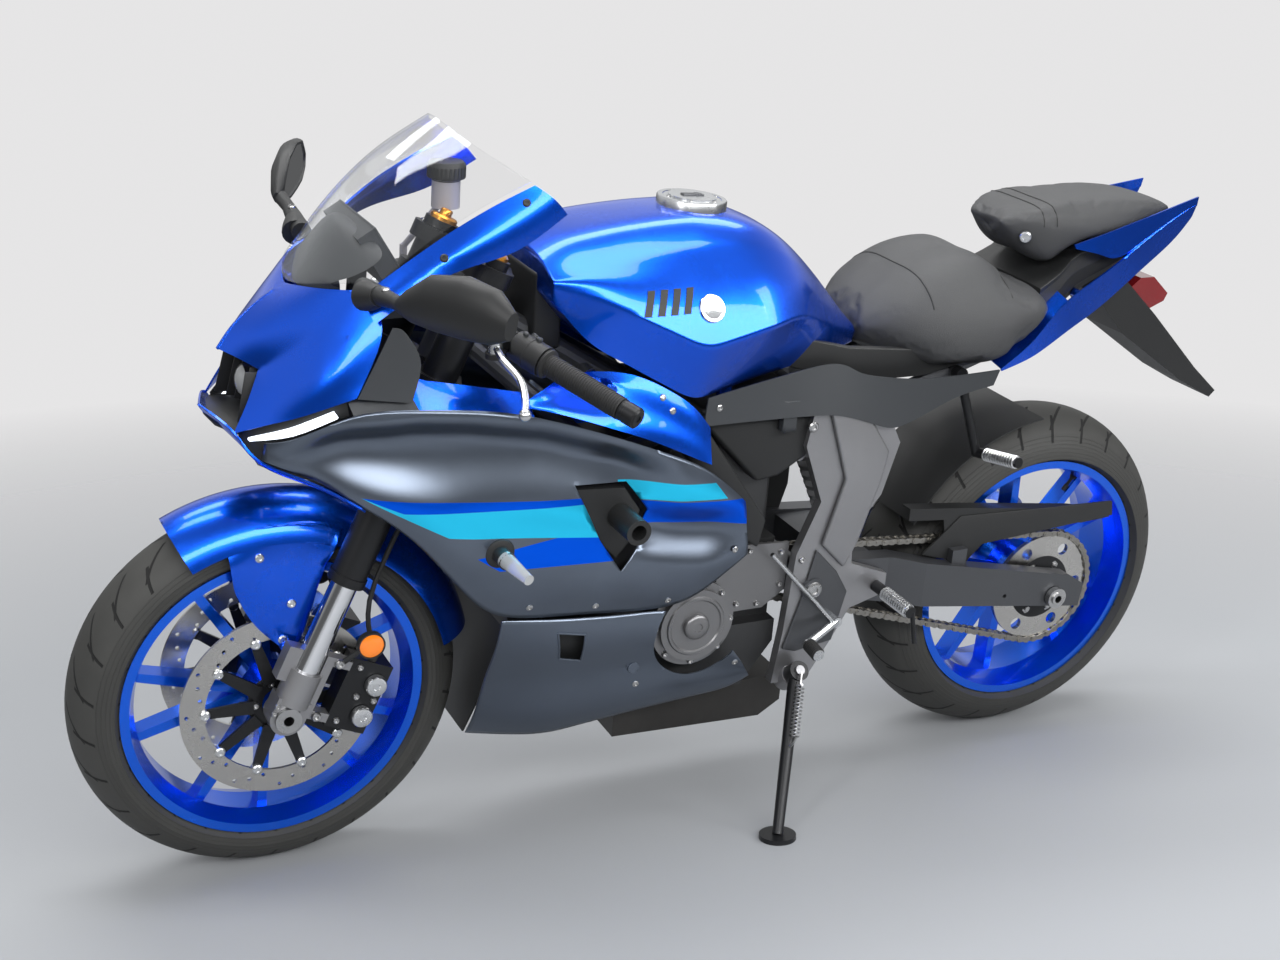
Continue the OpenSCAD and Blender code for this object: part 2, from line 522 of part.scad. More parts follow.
module padded(rows, n) loft([for (t = eased(rows, n))
  ring_at(t[0], eased([[0, t[1]], [t[2], t[1] - 2], [t[4], t[3]], [t[6], t[5]], [0, t[5]]], 3))]);
module rider_seat() color("#1f2022") parked() difference() {
  padded(rider, 3);
  both() {
    rod([470, 112, 690], [100, 86, 798], 15.5);
    translate([130, 0, 790]) ring_y(20, 60, 120);
  }
}
module pillion_seat() color("#26272a") parked() {
  padded(pillion, 3);
  translate([0, 0, 928 + seat]) cylinder(r = 22, h = 40);
}
module seat_tray() color("#1a1b1d") parked() difference() {
  padded(tray, 3);
  block(-60, 60, -60, 60, 928, 1000);
  block(-132, -50, -42, 42, 850, 912);
}
// Tail rails: a low blade from under the seat and a high one beside the pillion, rows of top and low edge
low_rail = [[[198, 153, 764], [196, 152, 759]], [[142, 149, 801], [142, 148, 774]], [[104, 143, 838], [104, 143, 790]],
  [[64, 135, 868], [54, 134, 814]], [[-40, 113, 914], [-26, 114, 846]], [[-122, 97, 958], [-106, 99, 894]], [[-196, 83, 992], [-190, 82, 944]],
  [[-238, 75, 1006], [-230, 76, 984]]];
high_rail = [[[52, 113, 957], [48, 114, 950]], [[0, 109, 968], [-4, 112, 938]], [[-60, 102, 981], [-52, 106, 927]],
  [[-130, 92, 996], [-122, 96, 955]], [[-196, 81, 1010], [-194, 83, 989]], [[-240, 74, 1019], [-238, 75, 1003]]];
rail_pegs = [[20, 868, 86, 122], [-100, 922, 66, 97], [-30, 941, 78, 107], [-190, 968, 46, 78]];
module tail_cowls() color("#1746c8") parked() difference() {
  both() {
    skin_of(net(low_rail, 3, 4), skin);
    skin_of(net(high_rail, 3, 4), skin);
    for (g = rail_pegs) translate([g[0], 0, g[1]]) ring_y(7, g[2], g[3]);
  }
  padded([for (t = tray) [t[0], t[1] + seat, t[2], t[3] + seat, t[4] + seat, t[5] - seat, t[6] + seat]], 3);
}
cover = [[[756, 166, 766], [762, 170, 722]], [[640, 152, 782], [650, 160, 718]], [[520, 143, 796], [530, 162, 716]],
  [[470, 150, 776], [466, 162, 700]], [[408, 158, 766], [412, 161, 682]], [[352, 162, 762], [368, 160, 690]],
  [[280, 162, 762], [286, 156, 722]], [[206, 160, 764], [210, 154, 736]]];
module side_covers() color("#33363b") parked() both() {
  skin_of(net(cover, 3, 6), skin);
  slab([[588, 742], [588, 692], [612, 692], [612, 742]], 140, 156);
}
module plate_bracket() color("#1a1b1d") parked() {
  slab([[-60, 880], [-120, 876], [-210, 800], [-330, 690], [-392, 640], [-380, 628], [-300, 668], [-140, 770], [-60, 850]], -52, 52);
  translate([-92, 0, 860]) cylinder(r = 26, h = 52 - seat);
}
module tail_lamp() color("#b01018") parked() slab([[-150, 851], [-200, 808.8], [-232, 822], [-238, 836], [-200, 868], [-170, 868]], -44, 44);

// Upper cowl nets, front row first; each row runs from the top edge to the bottom edge
nose = [[[1464, -2, 846], [1444, 32, 842], [1420, 62, 832], [1440, 80, 792], [1462, 88, 750]],
  [[1440, -2, 880], [1420, 46, 876], [1390, 92, 862], [1406, 116, 808], [1424, 120, 770]],
  [[1405, -2, 912], [1386, 64, 912], [1346, 124, 906], [1356, 158, 846], [1382, 152, 790]],
  [[1368, -2, 936], [1342, 90, 952], [1290, 148, 962], [1280, 184, 912], [1318, 190, 824]]];
wing = [[[1302, 142, 952], [1298, 172, 942], [1292, 184, 926]], [[1200, 162, 1030], [1196, 184, 1010], [1196, 190, 988]],
  [[1126, 166, 1074], [1108, 186, 1048], [1092, 188, 1018]], [[1060, 166, 1104], [1034, 178, 1086], [1014, 178, 1064]]];
// Chin and the thin lip that runs back under the side panel
lip = [[[1492, -2, 764], [1484, -2, 752], [1472, -2, 742]], [[1466, 86, 756], [1462, 88, 744], [1454, 89, 733]],
  [[1434, 114, 713], [1429, 113, 707], [1423, 111, 701]], [[1364, 157, 688], [1360, 157, 683], [1355, 154, 678]],
  [[1306, 178, 654], [1303, 177, 650], [1299, 175, 646]]];
mirror_in = [1298, 140, 966];
mirror_out = [1292, 210, 972];
module upper_cowl() color("#1746c8") parked() difference() {
  both() {
    skin_of(eased([for (r = nose) creased([[r[0], r[1], r[2]], [r[2], r[3], r[4]]], 3)], 4), skin);
    skin_of(net(wing, 4, 3), skin);
    skin_of(net(lip, 3, 2), skin);
    translate([1315, 0, 897]) ring_y(7, 70 + seat, 157);
  }
  both() rod(mirror_in, mirror_out, 9 + seat);
}
insert = [[[1266, 182, 918], [1290, 186, 872], [1316, 188, 822]], [[1254, 184, 916], [1264, 188, 870], [1288, 190, 818]],
  [[1246, 184, 908], [1226, 190, 868], [1240, 194, 812]]];
module cowl_inserts() color("#2b2d31") parked() both() skin_of(net(insert, 3, 3), skin);
glass = [[[1366, 0, 941], [1338, 92, 960], [1276, 148.6, 974]], [[1302, 0, 1042], [1276, 88, 1040], [1202, 156.8, 1034]],
  [[1228, 0, 1120], [1204, 84, 1106], [1130, 160, 1078]], [[1154, 0, 1171], [1124, 86, 1146], [1064, 160, 1108]]];
module windscreen() color("#9fb3bf", 0.4) parked() skin_of(net([for (r = glass)
  concat([for (j = [2 : -1 : 1]) [r[j][0], -r[j][1], r[j][2]]], r)], 3, 3), screen_t);
module headlamps() color("#101113") parked() {
  block(1360, 1400, -50, 50, 748, 820);
  block(1362, 1384, -20, 20, 819, 880 - seat);
  translate([1400, 0, 795]) rotate([0, 90, 0]) cylinder(r = 24, h = 20);
}
strip = [[[1444, 86, 741], [1440, 89, 736]], [[1398, 132, 766], [1392, 136, 756]], [[1346, 172, 800], [1340, 175, 791]]];
module day_lamps() color("#f2f6ff") parked() both() {
  skin_of(net(strip, 4, 2), 5);
  translate([1390, 0, 763]) ring_y(4, 50 + seat, 132);
}
module cockpit() color("#1b1c1f") parked() {
  block(1140, 1385, -24, 24, 880, 912);
  at_fork() translate([34 - fork_offset + seat, -22, 640]) cube([40, 44, 40]);
  block(1300, 1330, -70, 70, 884, 910);
  translate([1250, 0, 985]) rotate([0, -58, 0]) block(-45, 45, -82, 82, -14, 14);
  rod([1262, 0, 905], [1258, 0, 975], 14);
}

// Side panels: rows front to rear, columns x_top, y_top, z_top, x_low, y_low, z_low, belly of the curve
fairing = [[1426, 114, 741, 1430, 118, 717, 0], [1386, 150, 756, 1362, 156, 690, 3], [1316, 186, 800, 1304, 178, 656, 6],
  [1215, 202, 802, 1230, 190, 600, 9], [1108, 210, 792, 1156, 194, 512, 12], [1020, 212, 768, 1090, 188, 454, 14],
  [940, 211, 740, 950, 190, 442, 14], [850, 207, 704, 797, 188, 430, 12], [764, 202, 664, 722, 190, 470, 8], [690, 194, 600, 674, 190, 505, 3]];
function panel_row(p, n) = [for (j = [0 : n]) let (v = j / n) [p[0] + (p[3] - p[0]) * v,
  p[1] + (p[4] - p[1]) * v + p[6] * (sin(180 * v) + 0.5 * sin(540 * v)), p[2] + (p[5] - p[2]) * v]];
vent = [[987, 662], [898, 655], [860, 606], [873, 555], [905, 515], [944, 572]];
module side_fairings() color("#2d3440") parked() both() difference() {
  union() {
    skin_of([for (r = eased(fairing, 2)) panel_row(r, 10)], skin);
    translate([900, 0, 680]) ring_y(9, 122 + seat, 214);
  }
  translate([1105, 0, 572]) ring_y(8 + seat, 150, 300);
  slab(vent, 150, 300);
}
upper_side = [[1068, 197, 802, 1070, 202, 791, 0], [1036, 182, 811, 1038, 204, 784, 2], [1000, 156, 815, 1000, 204, 772, 4],
  [950, 146, 818, 940, 203, 750, 4], [880, 164, 812, 860, 200, 718, 3], [792, 170, 764, 790, 196, 684, 2], [752, 172, 720, 756, 194, 668, 0]];
module upper_panels() color("#1746c8") parked() both() {
  skin_of([for (r = eased(upper_side, 3)) panel_row(r, 6)], skin);
  translate([930, 0, 800]) ring_y(9, 110 + seat, 184);
}
belly = [[1086, 185, 447, 1090, 62, 188, 8], [1000, 188, 438, 985, 106, 190, 12], [900, 188, 430, 900, 126, 208, 12],
  [800, 186, 422, 820, 142, 226, 10], [740, 184, 384, 735, 148, 236, 8], [690, 176, 345, 668, 152, 244, 4],
  [655, 168, 304, 628, 158, 264, 2]];
module belly_pan() color("#2d3440") parked() both() {
  skin_of([for (r = eased(belly, 3)) panel_row(r, 8)], skin);
  translate([850, 0, 320]) ring_y(10, case_y + seat, 170);
}
module vent_ducts() color("#131416") parked() both() {
  slab([[980, 650], [900, 645], [872, 606], [882, 560], [906, 530], [950, 575]], 150, 190);
  translate([905, 0, 600]) ring_y(14, 104 + seat, 152);
}
module frame_sliders() color("#161719") parked() both() translate([905, 0, 600]) difference() {
  ring_y(20, 190 + seat, 258);
  ring_y(12, 230, 260);
}
module turn_signals() color("#d9dde0") parked() both() {
  translate([1105, 0, 572]) ring_y(8, 186, 236);
  rod([1105, 230, 572], [1092, 290, 564], 13, 8);
}
module mirrors() color("#17181a") parked() both() {
  rod(mirror_in, mirror_out, 9);
  cord(eased([[1292, 205, 971.5], [1286, 270, 980], [1274, 350, 1003]], 3), 9);
  loft([for (m = [[335, 14, 16, 0], [365, 26, mirror_h - 8, -2], [420, 32, mirror_h, 0], [470, 26, mirror_h - 6, 2], [496, 12, 18, 4]])
    [for (k = [0 : 15]) [1262 + m[3] * 2 + m[1] * (cos(k * 22.5) > 0 ? 1 : 0.35) * cos(k * 22.5), m[0], 1012 - m[2] * sin(k * 22.5)]]]);
}
module footrests() color("#b4b6b9") parked() both() {
  rod([392, plate_y + plate_t + 1.1, 392], [385, 250, 386], 10);
  rod([380, 246, 386], [372, 252, 330], 4);
  rod([262, 118 + seat, 751], [262, 134, 751], 12);
  rod([262, 128, 751], [205, 130, 604], 8);
  rod([205, 126, 606], [190, 225, 622], 9);
}
module foot_controls() color("#b9bbbd") parked() {
  both() rod([475, plate_y + plate_t + seat, 345], [475, 174, 345], 9);
  both() rod([475, 168, 345], [540, 190, 325], 7);
  both() rod([540, 190, 325], [541, 228, 321], 10);
  rod([485, 172, 350], [612, 165, 485], 4);
}
module side_stand() color("#17181a") {
  parked() difference() {
    union() {
      rod(stand_p - 14 * stand_axis, stand_p + 14 * stand_axis, 17);
      rod(stand_p, stand_end, 12, 9);
    }
    rod(stand_p - 40 * stand_axis, stand_p + 40 * stand_axis, 8 + run);
  }
  on_floor() translate([stand_foot[0], stand_foot[1], 0]) cylinder(r = 30, h = 8);
}

front_tyre();
front_rim();
front_rotors();
front_carriers();
front_axle();
fork_bottoms();
fork_stanchions();
fork_tubes();
triple_clamps();
clip_ons();
grips();
switchgear();
levers();
brake_reservoir();
front_calipers();
front_fender();
brake_hoses();
rear_tyre();
rear_rim();
rear_sprocket();
rear_rotor();
rear_axle();
rear_caliper();
swingarm();
chain();
chain_guard();
rear_shock();
main_frame();
pivot_plates();
engine_block();
engine_covers();
radiator();
exhaust();
fuel_tank();
fuel_cap();
rider_seat();
pillion_seat();
seat_tray();
tail_cowls();
side_covers();
plate_bracket();
tail_lamp();
upper_cowl();
cowl_inserts();
windscreen();
headlamps();
day_lamps();
cockpit();
upper_panels();
side_fairings();
belly_pan();
vent_ducts();
frame_sliders();
turn_signals();
mirrors();
footrests();
foot_controls();
side_stand();
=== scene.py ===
"""Looks of a faired sport bike parked on its side stand.

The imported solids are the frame. This script paints them, smooths the moulded
panels, and adds the small fittings, in millimetres of the upright bike.
"""

import json
import logging
import math
from dataclasses import dataclass, field
from enum import Enum
from typing import Any, Optional, Sequence, Union

import bmesh
import bpy
from mathutils import Matrix, Vector
from mathutils.bvhtree import BVHTree

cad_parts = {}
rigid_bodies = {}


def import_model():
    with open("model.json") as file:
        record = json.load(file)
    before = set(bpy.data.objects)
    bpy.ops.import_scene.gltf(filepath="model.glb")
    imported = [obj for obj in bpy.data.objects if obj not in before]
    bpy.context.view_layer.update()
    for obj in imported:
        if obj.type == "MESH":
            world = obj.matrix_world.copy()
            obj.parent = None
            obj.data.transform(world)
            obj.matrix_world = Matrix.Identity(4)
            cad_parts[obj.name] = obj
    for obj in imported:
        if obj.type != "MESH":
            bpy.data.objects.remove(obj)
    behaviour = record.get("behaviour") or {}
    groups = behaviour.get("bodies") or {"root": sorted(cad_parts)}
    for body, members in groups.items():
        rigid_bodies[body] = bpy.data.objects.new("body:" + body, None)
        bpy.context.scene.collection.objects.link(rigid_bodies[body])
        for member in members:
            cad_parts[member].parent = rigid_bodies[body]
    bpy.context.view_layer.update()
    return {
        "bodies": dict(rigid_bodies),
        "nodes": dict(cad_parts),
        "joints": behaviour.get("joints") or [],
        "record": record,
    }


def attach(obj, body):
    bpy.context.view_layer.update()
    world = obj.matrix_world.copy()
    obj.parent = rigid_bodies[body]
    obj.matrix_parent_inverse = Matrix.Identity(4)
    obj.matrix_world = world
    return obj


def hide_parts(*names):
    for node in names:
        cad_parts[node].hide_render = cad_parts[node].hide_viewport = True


LOG = logging.getLogger("bike")
MM = 0.001
Point = Sequence[float]
Colour = tuple[float, float, float]
ACROSS: Point = (0, 1, 0)
UP: Point = (0, 0, 1)
AHEAD: Point = (1, 0, 0)
# Driving sizes of the upright bike, in millimetres
WHEELBASE = 1395.0
FRONT_R = 300.0
REAR_R = 315.0
# Radius that a turned shape keeps at its axis
TIP = 0.05
# Millimetres across the broad patches of shade on a finish, and across the finest grain
BROAD = 90.0
FINEST = 0.6


class Body(str, Enum):
    """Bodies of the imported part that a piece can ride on."""

    FRAME = "frame"
    STEERING = "steering"
    FRONT_WHEEL = "front_wheel"
    REAR_WHEEL = "rear_wheel"
    STAND = "side_stand"
    CAP = "fuel_cap"


@dataclass(frozen=True)
class Stance:
    """How the upright bike lies in the row frame.

    Attributes:
        to_row: takes millimetres of the upright bike to metres of the row.
        front_r: height of the front axle on the upright bike.
        rear_r: height of the rear axle.
        wheelbase: distance between the axles along the floor.
    """

    to_row: Matrix
    front_r: float = FRONT_R
    rear_r: float = REAR_R
    wheelbase: float = WHEELBASE

    @classmethod
    def read(cls, joints: Sequence[dict], front_r: float = 300.0, rear_r: float = 315.0) -> "Stance":
        """Work out the lean from the two wheel joints.

        Args:
            joints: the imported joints.
            front_r: height of the front axle on the upright bike.
            rear_r: height of the rear axle.

        Returns:
            The stance.
        """
        at = {j["name"]: j for j in joints}
        rear = Vector(at["rear_wheel_spin"]["pos_m"])
        run = Vector(at["front_wheel_spin"]["pos_m"]) - rear
        across = Vector(at["rear_wheel_spin"]["axis"]).normalized()
        fall = math.asin((rear_r - front_r) * MM / run.length)
        ahead = run.normalized()
        up = ahead.cross(across)
        x_axis = math.cos(fall) * ahead + math.sin(fall) * up
        z_axis = math.cos(fall) * up - math.sin(fall) * ahead
        turn = Matrix((x_axis, across, z_axis)).transposed().to_4x4()
        move = Matrix.Translation(rear - z_axis * rear_r * MM)
        return cls(move @ turn @ Matrix.Scale(MM, 4), front_r, rear_r)


class Value:
    """A shader value that takes part in Python arithmetic."""

    def __init__(self, graph: "Graph", socket: bpy.types.NodeSocket) -> None:
        """Wrap an output socket of a graph."""
        self.graph = graph
        self.socket = socket

    def math(self, operation: str, *others: Any, first: bool = True) -> "Value":
        """Add one Math node.

        Args:
            operation: the node's operation.
            others: further operands, numbers or values.
            first: whether this value is the first operand.

        Returns:
            The result.
        """
        operands = [self, *others] if first else [*others, self]
        node = self.graph.node("ShaderNodeMath", {"operation": operation}, dict(enumerate(operands)))
        return Value(self.graph, node.outputs[0])

    def __add__(self, other: Any) -> "Value":
        """Sum."""
        return self.math("ADD", other)

    __radd__ = __add__

    def __sub__(self, other: Any) -> "Value":
        """Difference."""
        return self.math("SUBTRACT", other)

    def __rsub__(self, other: Any) -> "Value":
        """Reflected difference."""
        return self.math("SUBTRACT", other, first=False)

    def __mul__(self, other: Any) -> "Value":
        """Product."""
        return self.math("MULTIPLY", other)

    __rmul__ = __mul__

    def __abs__(self) -> "Value":
        """Size without sign."""
        return self.math("ABSOLUTE")

    def above(self, edge: Any, soft: float = 1.0) -> "Value":
        """Mask of one where this value is over an edge, with a soft border."""
        node = self.graph.node("ShaderNodeMath", {"operation": "DIVIDE", "use_clamp": True},
                               {0: self - edge, 1: soft})
        return Value(self.graph, node.outputs[0])

    def below(self, edge: Any, soft: float = 1.0) -> "Value":
        """Mask of one where this value is under an edge."""
        return 1.0 - self.above(edge, soft)

    def fract(self) -> "Value":
        """Part after the point."""
        return self.math("FRACT")


class Graph:
    """The node tree of one material, or of the room."""

    def __init__(self, name: str, store: str = "materials", kind: str = "BSDF_PRINCIPLED") -> None:
        """Start with a lone shader.

        Args:
            name: the material's or the room's name.
            store: where it is kept, materials or worlds.
            kind: type of its shader.
        """
        self.material = getattr(bpy.data, store).new(name)
        self.material.use_nodes = True
        self.tree = self.material.node_tree
        self.shader = next(n for n in self.tree.nodes if n.type == kind)

    def node(self, kind: str, settings: dict[str, Any], inputs: dict[Any, Any]) -> bpy.types.Node:
        """Add a node.

        Args:
            kind: the node's type.
            settings: attributes that are set first; stops fills a colour ramp.
            inputs: values, links or Value objects by socket name or index.

        Returns:
            The node.
        """
        node = self.tree.nodes.new(kind)
        for key, value in settings.items():
            if key == "stops":
                ramp = node.color_ramp
                while len(ramp.elements) < len(value):
                    ramp.elements.new(0.5)
                for element, (place, colour) in zip(ramp.elements, value):
                    element.position = place
                    element.color = (*colour, 1.0)
            else:
                setattr(node, key, value)
        for key, value in inputs.items():
            self.feed(node.inputs[key], value)
        return node

    def set(self, name: str, value: Any) -> None:
        """Set or link one socket of the shader."""
        self.feed(self.shader.inputs[name], value)

    def feed(self, socket: bpy.types.NodeSocket, value: Any) -> None:
        """Set or link one socket."""
        if isinstance(value, Value):
            self.tree.links.new(value.socket, socket)
        elif isinstance(value, bpy.types.NodeSocket):
            self.tree.links.new(value, socket)
        else:
            socket.default_value = value

    def place(self, to_row: Matrix) -> tuple[Value, Value, Value]:
        """Coordinates in millimetres of a frame given by its matrix to the row.

        Args:
            to_row: that matrix.

        Returns:
            x, y and z.
        """
        back = to_row.inverted()
        move, turn, scale = back.decompose()
        where = self.node("ShaderNodeTexCoord", {}, {}).outputs["Object"]
        mapped = self.node("ShaderNodeMapping", {}, {
            "Vector": where, "Location": move, "Rotation": turn.to_euler(), "Scale": scale})
        parts = self.node("ShaderNodeSeparateXYZ", {}, {0: mapped.outputs[0]})
        return tuple(Value(self, parts.outputs[i]) for i in range(3))

    def noise(self, size: float, detail: float) -> Value:
        """Noise whose grains are about size millimetres across."""
        where = self.node("ShaderNodeTexCoord", {}, {}).outputs["Object"]
        node = self.node("ShaderNodeTexNoise", {}, {
            "Vector": where, "Scale": 1.0 / (size * MM), "Detail": detail})
        return Value(self, node.outputs["Fac"])

    def cells(self, size: float) -> Value:
        """Distance to the borders of cells about size millimetres across."""
        where = self.node("ShaderNodeTexCoord", {}, {}).outputs["Object"]
        node = self.node("ShaderNodeTexVoronoi", {"feature": "DISTANCE_TO_EDGE"},
                         {"Vector": where, "Scale": 1.0 / (size * MM)})
        return Value(self, node.outputs["Distance"])

    def blend(self, factor: Value, a: Any, b: Any) -> bpy.types.NodeSocket:
        """Colour that goes from a to b with the factor."""
        rgba = [(*c, 1.0) if isinstance(c, tuple) else c for c in (a, b)]
        node = self.node("ShaderNodeMix", {"data_type": "RGBA"}, {"Factor": factor, 6: rgba[0], 7: rgba[1]})
        return node.outputs[2]

    def relief(self, height: Value, depth: float) -> None:
        """Bump the surface by a height from nought to one.

        Args:
            height: the height.
            depth: its full depth in millimetres.
        """
        bump = self.node("ShaderNodeBump", {}, {"Height": height, "Distance": depth * MM, "Strength": 1.0})
        self.set("Normal", bump.outputs[0])


@dataclass(frozen=True)
class Finish:
    """A surface finish and how it varies.

    Attributes:
        slot: the record's material slot it belongs to.
        colour: its base colour, linear.
        drift: how far the shade wanders over the surface.
        grain: size in millimetres of the moulded or sprayed grain.
        depth: depth of that grain in millimetres.
        haze: how far the roughness wanders.
    """

    slot: str
    colour: Colour
    roughness: float
    metallic: float = 0.0
    coat: float = 0.0
    coat_roughness: float = 0.03
    drift: float = 0.12
    grain: float = 2.0
    depth: float = 0.0
    haze: float = 0.08
    transmission: float = 0.0
    ior: float = 1.45
    glow: float = 0.0

    def shade(self, factor: float) -> Colour:
        """The base colour made lighter or darker."""
        return tuple(min(1.0, c * factor) for c in self.colour)

    def start(self, name: str) -> Graph:
        """A graph with the constant sockets set.

        Args:
            name: the material's name.

        Returns:
            The graph.
        """
        graph = Graph(name)
        for socket, value in (("Metallic", self.metallic), ("Coat Weight", self.coat),
                              ("Coat Roughness", self.coat_roughness), ("IOR", self.ior),
                              ("Transmission Weight", self.transmission)):
            graph.set(socket, value)
        if self.glow:
            graph.set("Emission Color", (*self.colour, 1.0))
            graph.set("Emission Strength", self.glow)
        return graph

    def weather(self, graph: Graph, colour: Any = None) -> None:
        """Vary shade and roughness with two sizes of noise.

        Args:
            graph: the material's graph.
            colour: a colour socket that takes the place of the plain colour.
        """
        fine = graph.noise(max(self.grain, FINEST), 2.0)
        tone = graph.noise(BROAD, 4.0) * 0.7 + fine * 0.3
        if colour is None:
            colour = graph.blend(tone, self.shade(1.0 - self.drift), self.shade(1.0 + self.drift))
        graph.set("Base Color", colour)
        graph.set("Roughness", self.roughness + (tone - 0.5) * self.haze)
        if self.depth:
            graph.relief(fine, self.depth)

    def material(self, name: str) -> bpy.types.Material:
        """The finished material."""
        graph = self.start(name)
        self.weather(graph)
        return graph.material


BLUE: Colour = (0.001, 0.088, 0.72)
GRAPHITE: Colour = (0.130, 0.153, 0.192)
ROYAL: Colour = (0.001, 0.105, 0.86)
CYAN: Colour = (0.030, 0.66, 1.0)
# Where along the bike the front stripes end and the rear ones begin
SPLIT = 912.0


class Paint:
    """All finishes of the bike, made once each."""

    plain: dict[str, Finish] = {
        "body_blue": Finish("body_blue", BLUE, 0.27, 0.93, 0.45, 0.03, 0.10, 0.7, 0.0, 0.06),
        "wheel_blue": Finish("wheel_blue", (0.002, 0.120, 0.80), 0.26, 0.92, 0.5, 0.05, 0.12, 0.8),
        "graphite": Finish("graphite", GRAPHITE, 0.31, 0.95, 0.0, 0.30, 0.10, 0.8, 0.0, 0.05),
        "black_plastic": Finish("black_plastic", (0.012, 0.0125, 0.013), 0.50, grain=0.8, depth=0.04),
        "grey_plastic": Finish("grey_plastic", (0.030, 0.033, 0.037), 0.52, grain=1.1, depth=0.06),
        "black_metal": Finish("black_metal", (0.012, 0.0125, 0.014), 0.36, 0.4, grain=1.5),
        "dark_metal": Finish("dark_metal", (0.080, 0.083, 0.090), 0.40, 0.7, grain=1.2, depth=0.02),
        "cast_grey": Finish("cast_grey", (0.28, 0.28, 0.29), 0.40, 0.85, grain=1.2, depth=0.04),
        "engine_dark": Finish("engine_dark", (0.055, 0.056, 0.058), 0.42, 0.7, grain=1.6, depth=0.05),
        "engine_bright": Finish("engine_dark", (0.20, 0.20, 0.205), 0.36, 0.85, grain=1.0),
        "lcd": Finish("lens_clear", (0.10, 0.115, 0.105), 0.12, coat=1.0),
        "disc_steel": Finish("disc_steel", (0.46, 0.45, 0.43), 0.27, 1.0, grain=0.7, haze=0.14),
        "axle_steel": Finish("axle_steel", (0.42, 0.42, 0.42), 0.28, 1.0, grain=0.8),
        "fork_chrome": Finish("fork_chrome", (0.74, 0.75, 0.77), 0.07, 1.0, drift=0.03, haze=0.03),
        "lever_alloy": Finish("lever_alloy", (0.60, 0.61, 0.62), 0.27, 1.0, grain=1.0, haze=0.12),
        "chain_steel": Finish("chain_steel", (0.27, 0.26, 0.24), 0.34, 1.0, drift=0.25, grain=4.0, haze=0.2),
        "spring_gold": Finish("spring_gold", (0.55, 0.55, 0.56), 0.30, 0.8, 0.3),
        "exhaust_steel": Finish("exhaust_steel", (0.05, 0.048, 0.046), 0.40, 0.8, drift=0.3, grain=12.0,
                                haze=0.2),
        "seat_vinyl": Finish("seat_vinyl", (0.040, 0.041, 0.043), 0.54, grain=1.4, depth=0.10),
        "rubber_black": Finish("rubber_black", (0.011, 0.011, 0.0115), 0.62, grain=0.9, depth=0.03),
        "milky_plastic": Finish("milky_plastic", (0.42, 0.41, 0.44), 0.30, transmission=0.35, drift=0.08),
        "red_lens": Finish("red_lens", (0.16, 0.004, 0.006), 0.10, coat=1.0, drift=0.2),
        "lamp_white": Finish("lamp_white", (0.86, 0.92, 1.0), 0.20, glow=1.6, drift=0.03),
        "screen_clear": Finish("screen_clear", (0.84, 0.87, 0.89), 0.03, 1.0, drift=0.02, haze=0.01),
        "lens_clear": Finish("lens_clear", (0.80, 0.82, 0.83), 0.06, transmission=0.65, drift=0.05),
        "amber_lens": Finish("lens_clear", (0.80, 0.19, 0.004), 0.20, coat=1.0, drift=0.2),
        "gold_cap": Finish("spring_gold", (0.62, 0.27, 0.04), 0.28, 0.9),
        "tyre": Finish("tyre", (0.032, 0.032, 0.030), 0.66, grain=1.2, depth=0.05, haze=0.12, drift=0.2),
    }

    def __init__(self, stance: Stance) -> None:
        """Start with no material made.

        Args:
            stance: where the upright bike lies.
        """
        self.stance = stance
        self.made: dict[str, bpy.types.Material] = {}

    def get(self, name: str) -> bpy.types.Material:
        """A finish's material by name, made at first use."""
        if name not in self.made:
            special = getattr(self, "make_" + name, None)
            self.made[name] = special() if special else self.plain[name].material(name)
        return self.made[name]

    def make_screen_clear(self) -> bpy.types.Material:
        """Thin clear sheet that mirrors more toward its edges."""
        finish = self.plain["screen_clear"]
        graph = finish.start("screen_clear")
        finish.weather(graph)
        facing = Value(graph, graph.node("ShaderNodeLayerWeight", {}, {"Blend": 0.5}).outputs["Facing"])
        graph.set("Alpha", facing * facing * facing * facing * 0.5 + 0.05)
        return graph.material

    def make_fairing(self) -> bpy.types.Material:
        """Satin graphite with the cyan and royal bands of both sides."""
        finish = self.plain["graphite"]
        graph = finish.start("fairing")
        x, _, z = graph.place(self.stance.to_row)
        ahead = x.above(SPLIT, 1.0)
        cyan_front = (ahead * z.below(560.5 + x * 0.083) * z.above(465.6 + x * 0.117)
                      * z.above(x * 0.533 - 26.5))
        royal_front = (ahead * z.below(727.0 - x * 0.141) * z.above(497.7 + x * 0.04)
                       * z.above(x * 0.686 - 215.0))
        behind = x.below(SPLIT, 1.0)
        cyan_rear = (behind * z.below(556.9 + x * 0.112) * z.above(545.1 + x * 0.092)
                     * z.below(x * 1.21 - 267.7))
        royal_rear = (behind * z.below(531.4 + x * 0.106) * z.above(480.8 + x * 0.116)
                      * z.below(x * 1.3 - 297.0))
        edge = z.above(582.2 + x * 0.051) * z.above(134.0 + x * 0.41)
        cyan = cyan_front * (1.0 - edge) + cyan_rear
        royal = royal_front + royal_rear + cyan_front * edge
        tone = graph.noise(BROAD, 4.0)
        base = graph.blend(tone, finish.shade(0.86), finish.shade(1.16))
        base = graph.blend(royal, base, ROYAL)
        base = graph.blend(cyan, base, CYAN)
        finish.weather(graph, base)
        return graph.material

    def make_vinyl(self) -> bpy.types.Material:
        """Seat vinyl with a fine cell grain."""
        finish = self.plain["seat_vinyl"]
        graph = finish.start("vinyl")
        finish.weather(graph)
        graph.relief(graph.cells(1.6).math("MINIMUM", 0.35) * 2.4, 0.22)
        return graph.material

